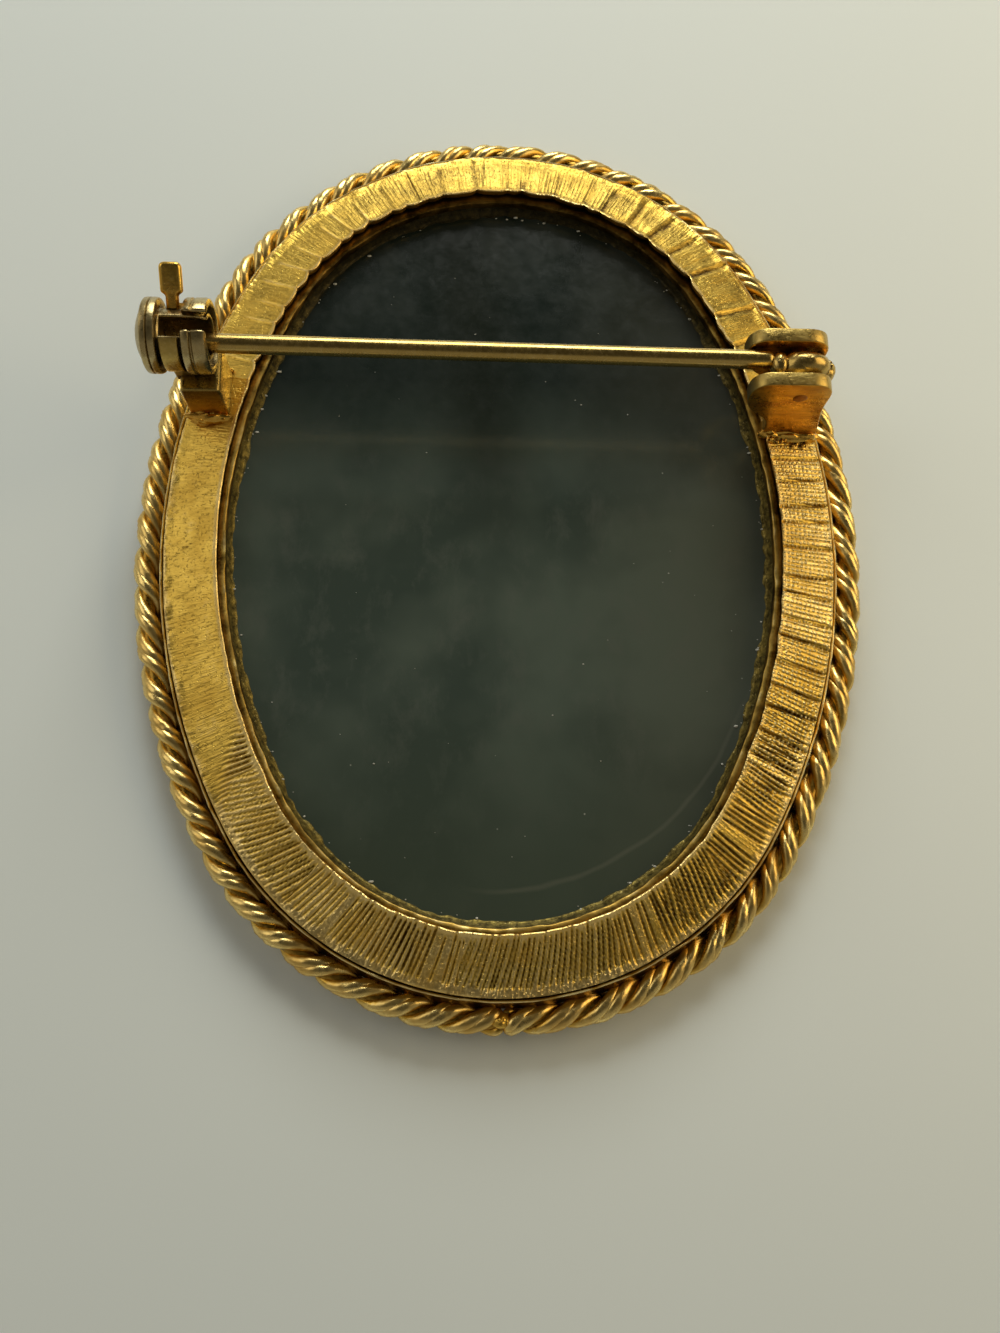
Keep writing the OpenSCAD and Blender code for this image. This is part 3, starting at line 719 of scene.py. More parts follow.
def worked_face(s, d):
    """The flange's face at a run s and an offset d: its lift in millimetres, tone and dots."""
    zones = {name: along_run(s, *ends) for name, ends in ZONES.items()}
    block, top, ridge, dots = [zones[name] for name in ("block", "top", "ridge", "dotted")]
    onset = step(0.0, 1.0, s - LOW_START - LOW_LEAN * d) * (s > ZONES["satin"][0])
    low = onset * (1 - step(*LOW_END, s))
    satin = np.maximum(zones["satin"] * np.ones_like(d), zones["satin_end"] * (1 - onset))

    across = d - FLANGE_W / 2
    bent = s + (0.42 * packet(s, 3.3, 13) - 0.08) * across * low
    leaning = s + (0.20 * packet(s, 2.4, 33) - 0.10) * across
    fine = cuts(bent, d, "fine") * (0.55 + 0.75 * packet(s, 2.1, 14))
    fine = fine * np.clip(low + 0.10 * top, 0, 1)
    fine = np.minimum((1.8 - 0.7 * top) * fine, 1.0) * (1 - 0.7 * step(2.10, 2.60, d))
    dotted = cuts(leaning, d, "dotted") * dots
    depths = {
        "fine": fine, "dotted": dotted,
        "top_fine": cuts(s, d, "top_fine") * top * (0.25 + 0.75 * packet(s, 1.2, 17)),
        "deep": cuts(s, d, "deep") * dots, "some_deep": cuts(bent, d, "some_deep") * low,
        "top_deep": cuts(s, d, "top_deep") * top,
        "seam": cuts(s, d, "seam") * (block + 0.5 * top) - 0.22 * cuts(s - 0.30, d, "seam", 0.22) * block,
        "ridge": cuts(s, d, "ridge") * ridge, "streak": cuts(s, d, "streak") * satin}
    lift = sum(STROKES[kind][8] * depth for kind, depth in depths.items())
    tone = sum(STROKES[kind][9] * depth for kind, depth in depths.items())

    levels = block_levels(s) * (0.3 * block + 0.9 * dots)
    folds = ring_swell(s, d, 0.6, 0.9, 73) * (block + 0.5 * ridge)
    wave = ring_swell(s, d, 4.3, 1.6, 5)
    cloud = ring_swell(s, d, 0.8, 0.7, 6)
    grain = ring_swell(s, d, 0.09, 0.09, 7)
    speckle = np.clip(1.5 * ring_swell(s + 0.6 * d, d, 0.19, 0.16, 9), -1, 1)
    margin = step(2.34, 2.52, d)
    crest = near(d - 2.72, 0.05)
    rim = near(d - 0.05, 0.09) * (1 - 0.4 * dots)
    bead = margin * (0.035 + 0.05 * ring_swell(s, d, 0.7, 0.9, 15) + 0.018 * speckle)
    pits = np.clip(ring_swell(s, d, 0.14, 0.12, 23) - 0.62, 0, 1) * (0.25 + satin)
    pits = pits * (0.25 + step(-0.1, 0.5, ring_swell(s, d, 2.6, 1.3, 19)))

    lift += bead * (1 - 0.75 * dots) + 0.07 * rim + 0.03 * crest + 0.025 * wave + 0.007 * grain
    lift += 0.05 * levels + 0.03 * folds - 0.04 * pits
    tone += 0.60 + 0.07 * wave + 0.09 * cloud + 0.09 * grain + 0.10 * levels + 0.10 * folds
    # The outer margin is brighter, most at the lower left, where this is painted light.
    tone += margin * (0.06 * satin + 0.22 * low + 0.10 * speckle)
    # The bright inner edge and crest are rubbed gilt and painted highlights.
    tone += 0.8 * rim + 0.5 * crest * (1 - 0.5 * dots) - 0.8 * pits
    # Painted light and shade zone by zone: lighter on the right and lower left, darker at the top, upper
    # right and upper left, darkest at the lower right.
    tone += 0.22 * dots - 0.14 * block - 0.12 * ridge - 0.18 * top + 0.12 * low - 0.36 * zones["painted_shade_low_right"]
    tone += 0.80 * (low + 0.6 * dots) * (0.38 - np.maximum(fine, dotted))
    return lift, np.clip(tone, 0, 1.2), dots + 0.2 * low


def inner_nicks(s):
    """How far the flange's inner edge wanders, in millimetres."""
    worked = along_run(s, 60.0, RUN + 45.6, 6.0)
    wander = waver(s, (0.03, 1.1, 3), (0.02, 0.4, 4))
    left_cusps = cuts(s, 0.3, "ridge", 0.55) ** 2 * along_run(s, 31.0, 45.6, 3.0)
    right_cusps = cuts(s, 0.3, "seam", 0.7) ** 2 * along_run(s, 8.6, 31.0, 2.0)
    return wander * (0.5 + 0.9 * worked) + 0.19 * (left_cusps + right_cusps) - 0.03


def flange():
    """The flange's sheet, worked on its upper side."""
    s = stations(4300)
    face_d = np.concatenate([[0.0, 0.05, 0.12, 0.24], np.linspace(0.42, 2.22, 9),
                             [2.36, 2.48, 2.60, 2.68, 2.75]])[None, :]
    lift, tone, dots = worked_face(s, face_d)
    nicks = inner_nicks(s)
    outer = waver(s, (0.03, 1.1, 16), (0.015, 0.35, 17))
    face_x = face_d + nicks * (1 - step(0.0, 0.5, face_d)) + outer * step(2.3, 2.7, face_d)
    face_z = FLANGE_IN_Z - SLOPE * face_d + lift * step(-0.05, 0.05, face_d)

    under = np.array([(2.79, 2.41, 0.85), (2.80, 2.30, 0.1), (2.60, 2.20, 0.1), (0.08, 3.00, 0.2)])
    under_d, under_z, under_tone = [np.repeat(column[None, :], len(s), 0) for column in under.T]
    under_d = under_d + nicks * (under_d < 1)
    d = np.concatenate([face_x, under_d], 1)
    z = np.concatenate([face_z, under_z], 1)
    values = {"tone": np.concatenate([tone, under_tone], 1),
              "dots": np.concatenate([dots, np.zeros(under_d.shape)], 1)}
    obj = ring_piece("flange", s, d, z, METAL["gilt_flange"], values, 60)
    layer = obj.data.attributes.new("run", "FLOAT_VECTOR", "POINT")
    run = np.stack([np.broadcast_to(s, d.shape), d, np.zeros(d.shape)], -1)
    layer.data.foreach_set("vector", run.astype(np.float32).ravel())
    return obj


def side_wall():
    """The wall under the flange's outer edge, whose own edge shows as a second bright line, rubbed and
    painted bright as a highlight.
    """
    inner = BAND_OUT - SHEET_T
    section_d, section_z, shares = np.array([
        (2.70, 2.16, 0.1), (2.81, 2.24, 0.15), (2.85, 2.27, 0.4), (2.88, 2.33, 1.0),
        (2.92, 2.36, 1.2), (2.96, 2.34, 1.1), (BAND_OUT, 2.28, 0.9), (BAND_OUT, 1.95, 0.42),
        (3.05, 1.75, 0.34), (3.15, 1.52, 0.30), (3.27, 1.28, 0.26), (3.30, 1.10, 0.24),
        (3.22, 0.90, 0.22), (BAND_OUT, 0.70, 0.3), (BAND_OUT, BAND_LOW + 0.06, 0.4),
        (BAND_OUT - 0.06, BAND_LOW, 0.4), (inner + 0.06, BAND_LOW, 0.3),
        (inner, BAND_LOW + 0.06, 0.3), (inner, 2.02, 0.1)]).T[:, None, :]
    s = stations(900)
    edge = near(section_z - WALL_EDGE_Z, 0.07)
    fillet = section_d > 3.1
    d = section_d + edge * waver(s, (0.035, 1.3, 8), (0.02, 0.4, 18)) + fillet * waver(s, (0.05, 0.9, 14))
    z = section_z + edge * waver(s, (0.035, 0.6, 10))
    # The section's shares of tone paint the edge bright as a highlight.
    tone = shares * (1 + waver(s, (0.45, 0.5, 12)))
    return ring_piece("side_wall", s, d, z, METAL["gilt_rim"], {"tone": tone}, 60)


def bezel():
    """Wall, step and front rim that hold the stone."""
    section_d, section_z = np.array([
        (-0.33, 2.10), (-0.35, 2.13), (-0.35, 2.45), (-0.35, 2.80), (-0.33, 2.85), (-0.28, 2.875),
        (-0.12, 2.88), (0.06, 2.88), (0.50, 2.74), (0.96, 2.60), (1.00, 2.57), (1.00, 1.20),
        (1.00, 0.05), (0.95, 0.00), (0.48, 0.00), (0.41, 0.03), (0.28, 0.26), (0.16, 0.48),
        (0.15, 0.55), (0.15, 0.87), (0.18, 0.90), (0.60, 0.90), (0.60, 2.10)]).T[:, None, :]
    s = stations(560)
    step_edge = near(section_z - STEP_Z, 0.06) * (section_d < -0.2)
    lip = (section_z < 0.7) * (section_d < 0.9)
    d = section_d + step_edge * waver(s, (0.045, 0.6, 21)) + lip * waver(s, (0.03, 2.1, 27))
    z = section_z + step_edge * waver(s, (0.04, 0.45, 22))
    # The step's edge is painted bright: rubbed gilt and a painted highlight.
    on_edge = near(section_d + 0.29, 0.05) * (section_z > 2.83)
    outside = 0.55 * (section_z < 1.3)
    # Painted shade: darker round the top of the oval, where the flange shades the wall.
    painted_shading = 1 - 0.85 * along_run(s, 10.0, 42.0, 16.0)
    tone = ((0.16 + 0.62 * on_edge) * painted_shading + outside) * (1 + waver(s, (0.6, 0.35, 28)))
    return ring_piece("bezel", s, d, z, METAL["gilt_bezel"], {"tone": tone})


def cement():
    """The uneven fillet of cement between the step and the stone's back."""
    s = stations(1100)
    wide = 0.27 + waver(s, (0.09, 1.7, 33), (0.08, 0.45, 34))
    share = np.linspace(0, 1, 9)[None, :]
    d = -0.34 - wide * share
    lumps = ring_swell(s, share * 3.0, 0.30, 1.0, 35) * (1 - share ** 3)
    z = STONE_TOP + 0.02 + 0.45 * (1 - share) ** 1.8 + 0.045 * lumps
    z = np.maximum(z, STONE_TOP + 0.012)
    foot_d = np.concatenate([d[:, -1:] - 0.02, d[:, :1] + 0.06], 1)
    foot_z = np.full(foot_d.shape, STONE_TOP - 0.01)
    return ring_piece("cement", s, np.concatenate([d, foot_d], 1), np.concatenate([z, foot_z], 1),
                      cement_paint())


CRUMBS = 150
CRUMBS_BY_CEMENT = 105


def crumbs():
    """Small pale crumbs: most along the cement, some on the stone."""
    parts = []
    for i in range(CRUMBS):
        r = [float(scatter(i, seed)) for seed in (101, 102, 103, 104)]
        if i < CRUMBS_BY_CEMENT:
            d = -0.62 - 0.22 * r[1] ** 2
            size = 0.018 + 0.05 * r[2] ** 3
        else:
            d = -1.0 - 9.0 * r[1]
            size = 0.012 + 0.022 * r[2] ** 3
        x, y = oval(turn(RUN * r[0], 0.0), d)
        radii = (size * (1.0 + 1.2 * r[3]), size, size * 0.6)
        parts.append(lump((float(x), float(y), STONE_TOP + size * 0.35), radii, 200 + i, 0.3, 5, 7))
    return make_object("dust_crumbs", joined(parts), dust_paint())


# Rope: two strands, each of two flattened wires side by side, twisted round a thin core, with a
# butt seam at the bottom

HUMPS = 66
STRAND_SPREAD = math.radians(25)
WIRE_DEEP = 0.32
WIRE_WIDE = 0.37
WIRE_RING = ROPE_R - WIRE_DEEP - 0.015
CORE_R = 0.42
CORE_POINTS = 400
ROPE_RUN = 4 * quarter(ROPE_D)
SEAM_RUN = 3 * quarter(ROPE_D)


def rope_wire(strand, wire, rings=HUMPS * 18, sides=14):
    """Shape and tone of one wire, open at the seam."""
    index = strand * 2 + wire
    gap = 0.01 + 0.05 * float(scatter(index, 301))
    s = SEAM_RUN + gap + np.linspace(0, 1, rings)[:, None] * (ROPE_RUN - 2 * gap)
    t = (np.arange(sides) * 2 * math.pi / sides)[None, :]
    a = turn(s, ROPE_D)
    x, y = oval(a, ROPE_D)
    roll = math.pi * (s / (ROPE_RUN / HUMPS) + 0.5)
    roll = roll + 0.34 * swell(s / 4.0, 0.0, 302) + 0.24 * swell(s / 1.5, strand, 303)
    spread = STRAND_SPREAD * (1 + 0.22 * swell(s / 1.4, strand, 306))
    angle = roll + strand * math.pi + (wire - 0.5) * 2 * spread
    ends = np.minimum(np.arange(rings), np.arange(rings)[::-1])[:, None]
    thick = (1 + 0.08 * swell(s / 0.9, index, 305)) * np.sqrt(np.clip((ends + 0.6) / 3.5, 0, 1))
    dent = 0.042 * swell(s / 0.24, t * 1.3, 307 + index) + 0.020 * swell(s / 0.10, t * 2.6, 317 + index)
    far = WIRE_RING * (1 + 0.05 * swell(s / 1.1, index, 304)) + WIRE_DEEP * thick * np.cos(t) - np.abs(dent)
    beside = WIRE_WIDE * thick * np.sin(t)
    out = far * np.cos(angle) - beside * np.sin(angle)
    up = far * np.sin(angle) + beside * np.cos(angle)
    verts = np.stack([x + out * np.cos(a), y + out * np.sin(a), ROPE_Z + up], -1)
    tone = (np.hypot(out, up) / ROPE_R - 0.46) / 0.42 + 0.26 * swell(s / 0.12, t * 2.0, 311 + index)
    # Painted light: the wires are brighter round the left side of the oval.
    tone = tone + 0.08 + 0.30 * np.clip(-np.cos(a), 0, 1)
    return (verts.reshape(-1, 3), capped_faces(rings, sides)), tone.ravel()


def rope():
    """The rope border: its wires, its core and a blob of solder on the seam."""
    made = [rope_wire(strand, wire) for strand in (0, 1) for wire in (0, 1)]
    core_s = np.linspace(0, 1, CORE_POINTS, endpoint=False) * ROPE_RUN
    x, y = oval(turn(core_s, ROPE_D), ROPE_D)
    core = tube(np.stack([x, y, np.full_like(x, ROPE_Z)], 1), np.full(CORE_POINTS, CORE_R), 10, True)
    made.append((core, np.full(len(core[0]), 0.22)))
    seam_x, seam_y = oval(turn(SEAM_RUN, ROPE_D), ROPE_D)
    bead = lump((float(seam_x) - 0.1, float(seam_y), ROPE_Z + 0.22), (0.46, 0.40, 0.46), 331, 0.14)
    made.append((bead, np.full(len(bead[0]), 0.62)))
    tones = np.concatenate([tone for _, tone in made])
    return make_object("rope", joined([shape for shape, _ in made]), METAL["gilt_rope"], {"tone": tones}, 60)


# Hinge: two ears on a foot, with solder round it

EAR_T = 0.7
EAR_GAP = 1.62
EAR_RIGHT = HINGE_X + 1.45
EAR_LEFT = EAR_RIGHT - 3.95
EAR_TOP = HINGE_Z + 1.3
EARS_LOW_Y = HINGE_Y - EAR_GAP / 2 - EAR_T
EARS_HIGH_Y = HINGE_Y + EAR_GAP / 2 + EAR_T
FOOT_RIGHT = EAR_RIGHT + 0.5
FOOT_LEFT = FOOT_RIGHT - 2.75


def hinge_bracket():
    """Both ears, each with a wide round head that narrows to the foot, and the foot."""
    ear = rounded([
        (FOOT_RIGHT, FLANGE_OUT_Z - 0.1, 0.05), (FOOT_RIGHT, FLANGE_IN_Z, 0.35),
        (EAR_RIGHT, HINGE_Z - 1.2, 0.6), (EAR_RIGHT, EAR_TOP, 1.5), (EAR_LEFT, EAR_TOP, 1.5),
        (EAR_LEFT, HINGE_Z - 0.95, 1.1), (FOOT_LEFT - 0.15, HINGE_Z - 2.4, 0.6),
        (FOOT_LEFT, FLANGE_IN_Z - 0.2, 0.2), (FOOT_LEFT, FLANGE_OUT_Z, 0.05)], 8)
    low = EARS_LOW_Y + 0.05
    high = EARS_HIGH_Y - 0.05
    foot = rounded([(FOOT_LEFT - 0.05, low, 0.2), (FOOT_RIGHT, low, 0.2),
                    (FOOT_RIGHT, high, 0.2), (FOOT_LEFT - 0.05, high, 0.2)])
    parts = [slab(ear, EARS_LOW_Y, EARS_LOW_Y + EAR_T, 0.07, UPRIGHT),
             slab(ear, EARS_HIGH_Y - EAR_T, EARS_HIGH_Y, 0.07, UPRIGHT),
             slab(foot, FLANGE_OUT_Z, FLANGE_IN_Z + 0.3, 0.15, FLAT)]
    return make_object("hinge_ears", joined(parts), METAL["gilt_fitting"])


def hinge_solder():
    """The bead and spatter of solder at the hinge's foot."""
    middle = (FOOT_LEFT + FOOT_RIGHT) / 2
    y = EARS_LOW_Y
    parts = [lump((middle, y - 0.02, FLANGE_IN_Z - 0.34), (1.50, 0.36, 0.42), 401, 0.22),
             lump((FOOT_RIGHT - 0.35, y - 0.02, FLANGE_IN_Z - 0.42), (0.42, 0.34, 0.40), 402, 0.16),
             lump((FOOT_LEFT + 0.3, y, FLANGE_IN_Z - 0.2), (0.5, 0.28, 0.36), 403, 0.16),
             lump((middle, EARS_HIGH_Y, FLANGE_IN_Z - 0.5), (1.4, 0.30, 0.42), 404, 0.14)]
    for i in range(14):
        r = [float(scatter(i, seed)) for seed in (411, 412, 413)]
        x = FOOT_LEFT + 0.1 + 2.4 * r[0]
        z = FLANGE_IN_Z - SLOPE * max(x - HALF_W, 0.0) - 0.02
        radii = (0.05 + 0.07 * r[2],) * 3
        parts.append(lump((x, y - 0.25 - 0.35 * r[1], z), radii, 420 + i, 0.2, 8, 10))
    return make_object("hinge_solder", joined(parts), METAL["gilt_solder"])


def rivet():
    """The rivet with its two low spread heads, sunk in the ears' outer faces."""
    along = np.array([0.0, 0.02, 0.07, 0.14, 0.2, 0.6]) - 0.03
    rise = np.array([0.45, 0.8, 0.97, 1.0, 1.0, 1.0]) * (RIVET_HIGH[2] - RIVET_LOW[2]) / 2
    path = np.concatenate([RIVET_LOW[1] + along, (RIVET_HIGH[1] - along)[::-1]])
    centres = np.stack([np.full_like(path, HINGE_X), path, np.full_like(path, HINGE_Z)], 1)
    shape = tube(centres, np.concatenate([rise, rise[::-1]]), 28)
    return make_object("rivet", shape, METAL["gilt_rivet"])


# Pin: a drawn wire with its knuckle, on the pin's own line

PIN_R = 0.46
NECK_R = 0.26
KNUCKLE_R = 1.2
KNUCKLE_W = 1.42
PIN_Z = HINGE_Z + 0.45
PIN_HINGE_Y = HINGE_Y + KNUCKLE_W / 2 - PIN_R - 0.01
PIN_CATCH_Y = CATCH_Y - 0.12
PIN_ENTRY_X = CATCH_X + 0.575
PIN_YAW = math.atan2(PIN_CATCH_Y - PIN_HINGE_Y, HINGE_X - PIN_ENTRY_X)
POINT_L = 1.9
POINT_R = 0.16
PIN_END_X = HINGE_X - KNUCKLE_R - 0.45


def pin_wire():
    """The wire from its tapered point to its rounded end, and the thin neck behind."""
    taper = np.linspace(0, 1, 14)
    swing = np.linspace(0.12, 1, 8) * math.pi / 2
    x = np.concatenate([
        PIN_TIP_X + np.array([0.0, 0.03, 0.08]), PIN_TIP_X + 0.12 + taper * (POINT_L - 0.12),
        np.linspace(PIN_TIP_X + POINT_L + 0.1, PIN_END_X - 0.02, 150),
        PIN_END_X + PIN_R * np.sin(swing), [PIN_END_X + PIN_R + 0.15, HINGE_X - 0.6]])
    r = np.concatenate([
        [0.05, 0.11, 0.145], POINT_R + (PIN_R - POINT_R) * np.sin(taper * math.pi / 2),
        np.full(150, PIN_R), np.maximum(PIN_R * np.cos(swing), NECK_R), [NECK_R, NECK_R]])
    y = PIN_HINGE_Y + (HINGE_X - x) * math.tan(PIN_YAW)
    centres = np.stack([x, y, np.full_like(x, PIN_Z)], 1)
    return tube(centres, r * (1 + 0.008 * swell(x / 2.3, 0.0, 501)), 32)


def pin_piece():
    """Wire and knuckle as one piece: an eye on the rivet, a barrel, a bead before it and a tail."""
    y0 = HINGE_Y - KNUCKLE_W / 2
    t = np.arange(64) * 2 * math.pi / 64
    eye_r = KNUCKLE_R - 0.1
    eye = np.stack([HINGE_X + eye_r * np.cos(t), HINGE_Z + eye_r * np.sin(t)], 1)
    shape = joined([
        pin_wire(), slab(eye, y0, y0 + KNUCKLE_W, 0.66, UPRIGHT, 9),
        lump((HINGE_X + 0.26, HINGE_Y, HINGE_Z + 0.22), (1.26, 0.69, 0.98), 511, 0.015, 32, 56),
        lump((HINGE_X - 1.06, HINGE_Y, PIN_Z + 0.06), (0.46, 0.64, 0.50), 512, 0.03, 24, 40),
        lump((HINGE_X + 1.34, HINGE_Y, HINGE_Z - 0.25), (0.46, 0.70, 0.76), 513, 0.16, 30, 48)])
    return make_object("pin", shape, METAL["gilt_wire"], None, 50)


# Catch: a fixed strap on its foot, and the turning spool with its lever

TUBE_R = 1.22
BORE_R = 0.88
DISC_R = 1.75
STRAP_IN = 1.27
STRAP_OUT = 1.63
STRAP_W = 0.85
STRAP_X0 = CATCH_X - STRAP_W / 2
STRAP_OPEN_LOW = -32.75
STRAP_OPEN_HIGH = 82.0
OPEN_X0 = CATCH_X + STRAP_W / 2 + 0.15
OPEN_X1 = SPOOL_END_X
CLOSED_X1 = CATCH_X - STRAP_W / 2 - 0.15
CLOSED_X0 = CLOSED_X1 - 0.75
SLOT_HALF = 0.51
LEVER_ANGLE = 55.0
LEVER_R = 3.3
LEVER_HALF_W = 0.525
LEVER_HALF_T = 0.21
NECK_HALF_W = 0.30
CATCH_FOOT_W = 1.95
CATCH_FOOT_TOP = 5.76

# Half section of the spool, from the dome to the slotted disc and back through the bore: a place
# along X, with the section's radii and their distances from that place
SPOOL_SECTION = [
    (CLOSED_X0, [(0.0, -0.42), (0.45, -0.40), (0.85, -0.33), (1.15, -0.20), (1.38, -0.02),
                 (1.46, 0.02), (1.66, 0.02), (1.73, 0.08), (DISC_R, 0.18), (DISC_R, 0.32),
                 (1.68, 0.37), (DISC_R, 0.42)]),
    (CLOSED_X1, [(DISC_R, -0.15), (1.71, -0.05), (1.62, 0.0), (TUBE_R + 0.03, 0.0), (TUBE_R, 0.03)]),
    (OPEN_X0, [(TUBE_R, -0.03), (TUBE_R + 0.03, 0.0), (1.62, 0.0), (1.71, 0.05), (DISC_R, 0.14),
               (DISC_R, 0.36), (1.66, 0.43), (1.66, 0.47), (DISC_R, 0.55)]),
    (OPEN_X1, [(DISC_R, -0.16), (1.70, -0.05), (1.60, 0.0), (1.46, 0.0), (1.40, -0.05),
               (1.38, -0.24), (1.32, -0.28), (1.12, -0.28), (1.06, -0.25), (1.04, -0.12),
               (0.98, -0.08), (BORE_R + 0.03, -0.08), (BORE_R, -0.12)]),
    (CLOSED_X1, [(BORE_R, -0.13), (0.0, -0.15)])]


def catch_arc(radius, start, end, count):
    """y and z of an arc round the catch's axis, in degrees from straight up towards +Y."""
    t = np.radians(np.linspace(start, end, count))
    return np.stack([CATCH_Y + radius * np.sin(t), CATCH_Z + radius * np.cos(t)], 1)


def catch_bracket():
    """Strap, post and foot."""
    post_z = CATCH_FOOT_TOP - 0.4
    outline = np.concatenate([
        catch_arc(STRAP_OUT, STRAP_OPEN_HIGH, 143, 16),
        [(CATCH_Y + 0.9, post_z), (CATCH_Y - 0.9, post_z)],
        catch_arc(STRAP_OUT, 217, 360 + STRAP_OPEN_LOW, 26),
        catch_arc(STRAP_IN, 360 + STRAP_OPEN_LOW, STRAP_OPEN_HIGH, 54)])
    left = OPEN_X1 - CATCH_FOOT_W
    low = FLANGE_OUT_Z - 0.1
    foot = rounded([(left, low, 0.05), (OPEN_X1, low, 0.05),
                    (OPEN_X1, CATCH_FOOT_TOP, 0.25), (left, CATCH_FOOT_TOP, 0.25)], 5)
    y0 = CATCH_Y - DISC_R + 0.05
    parts = [slab(outline, STRAP_X0, STRAP_X0 + STRAP_W, 0.07, ACROSS),
             slab(foot, y0, y0 + 2.5, 0.16, UPRIGHT)]
    return make_object("catch_bracket", joined(parts), METAL["gilt_fitting"])


def catch_solder():
    """Solder under the catch's foot."""
    middle = OPEN_X1 - CATCH_FOOT_W / 2
    y0 = CATCH_Y - DISC_R
    parts = [lump((middle, y0 - 0.04, FLANGE_IN_Z - 0.22), (1.1, 0.36, 0.40), 601, 0.24),
             lump((middle - 0.4, y0 - 0.12, FLANGE_IN_Z - 0.5), (0.5, 0.30, 0.34), 602, 0.2),
             lump((middle + 0.5, y0 - 0.06, FLANGE_IN_Z - 0.3), (0.42, 0.26, 0.32), 603, 0.2),
             lump((middle, y0 + 2.6, FLANGE_IN_Z - 0.35), (1.0, 0.25, 0.4), 604, 0.16)]
    return make_object("catch_solder", joined(parts), METAL["gilt_solder"])


def spool():
    """The turning spool, slotted by a cutter."""
    section = np.array([(r, x + away) for x, points in SPOOL_SECTION for r, away in points])
    body = make_object("catch_spool_piece", lathe(section, 120, CATCH_Y, CATCH_Z),
                       METAL["catch_metal"], None, 35)
    face_outwards(body.data, 0.002 * MM)
    low_y = PIN_CATCH_Y - SLOT_HALF
    high_y = PIN_CATCH_Y + SLOT_HALF
    slot = rounded([(low_y, PIN_Z - 0.25, 0.3), (high_y, PIN_Z - 0.25, 0.3),
                    (high_y, CATCH_Z + 3, 0), (low_y, CATCH_Z + 3, 0)])
    cutter = make_object("slot_cutter", slab(slot, CLOSED_X1 + 0.04, OPEN_X1 + 0.5, 0.02, ACROSS, 1),
                         METAL["catch_metal"])
    change = body.modifiers.new("slot", "BOOLEAN")
    change.operation = "DIFFERENCE"
    change.solver = "EXACT"
    change.object = cutter
    done = bpy.data.meshes.new_from_object(body.evaluated_get(bpy.context.evaluated_depsgraph_get()))
    body.modifiers.clear()
    body.data = done
    bpy.data.objects.remove(cutter)
    return body


def lever():
    """The lever that turns the spool, with its neck and rounded tab."""
    half = [(NECK_HALF_W, TUBE_R - 0.15, 0.02), (NECK_HALF_W, DISC_R + 0.08, 0.1),
            (LEVER_HALF_W, DISC_R + 0.22, 0.12), (LEVER_HALF_W, LEVER_R, 0.3)]
    outline = rounded([(-NECK_HALF_W, TUBE_R - 0.15, 0.02)] + half
                      + [(-u, v, r) for u, v, r in half[:0:-1]], 6)
    tilt = math.radians(LEVER_ANGLE)

    def place(u, v, w):
        y = CATCH_Y + v * math.sin(tilt) + w * math.cos(tilt)
        z = CATCH_Z + v * math.cos(tilt) - w * math.sin(tilt)
        return np.stack([CATCH_X + u, y, z], 1)

    shape = slab(outline, -LEVER_HALF_T, LEVER_HALF_T, 0.19, place, 7)
    return make_object("catch_lever", shape, METAL["gilt_solder"])


# Carving on the stone's front, charted as seen from the front: forward is -X, up +Y

RELIEF_L = 27.5
RELIEF_W = 19.0
RELIEF_H = 0.66
RELIEF_EDGE = 0.14
RELIEF_BASE = STONE_FACE - 0.02

# [height, back edge, front edge, rise], as shares of length, width and height
PROFILE = [
    (0.000, -0.02, 0.08, 0.45), (0.020, -0.14, 0.20, 0.66), (0.050, -0.25, 0.29, 0.78),
    (0.090, -0.34, 0.345, 0.85), (0.130, -0.395, 0.365, 0.88), (0.170, -0.42, 0.36, 0.90),
    (0.210, -0.415, 0.335, 0.89), (0.250, -0.385, 0.29, 0.87), (0.290, -0.335, 0.235, 0.84),
    (0.320, -0.29, 0.19, 0.82), (0.350, -0.25, 0.155, 0.80), (0.380, -0.225, 0.13, 0.80),
    (0.410, -0.215, 0.12, 0.81), (0.435, -0.22, 0.125, 0.83), (0.452, -0.235, 0.15, 0.85),
    (0.462, -0.25, 0.20, 0.87), (0.470, -0.265, 0.235, 0.88), (0.482, -0.285, 0.25, 0.90),
    (0.497, -0.315, 0.236, 0.91), (0.512, -0.34, 0.252, 0.93), (0.523, -0.355, 0.242, 0.94),
    (0.536, -0.37, 0.258, 0.94), (0.552, -0.385, 0.244, 0.95), (0.562, -0.395, 0.262, 0.96),
    (0.571, -0.40, 0.283, 0.96), (0.584, -0.408, 0.286, 0.96), (0.602, -0.417, 0.272, 0.97),
    (0.625, -0.425, 0.25, 0.98), (0.652, -0.425, 0.229, 0.99), (0.678, -0.42, 0.238, 1.00),
    (0.712, -0.41, 0.237, 1.00), (0.750, -0.405, 0.225, 1.00), (0.790, -0.40, 0.225, 1.00),
    (0.830, -0.388, 0.212, 0.99), (0.870, -0.366, 0.19, 0.96), (0.905, -0.333, 0.155, 0.92),
    (0.940, -0.282, 0.104, 0.84), (0.968, -0.216, 0.04, 0.70), (0.985, -0.137, -0.037, 0.50)]

# The hair's edge over face and neck: [height, how far forward]
HAIRLINE = [(0.44, -0.30), (0.48, -0.20), (0.515, -0.13), (0.55, -0.085), (0.585, -0.065),
            (0.62, -0.02), (0.645, 0.045), (0.672, 0.115), (0.70, 0.165), (0.725, 0.205),
            (0.745, 0.24), (0.80, 0.32), (1.0, 0.4)]

# Heights where the dress ends and where the face is whole
DRESS_TOP = 0.33
FACE_FROM = 0.44

# Middles of the bun and the ear, and the bun's half width and half height
BUN = (-0.30, 0.665)
BUN_R = (0.125, 0.085)
EAR = (-0.035, 0.595)

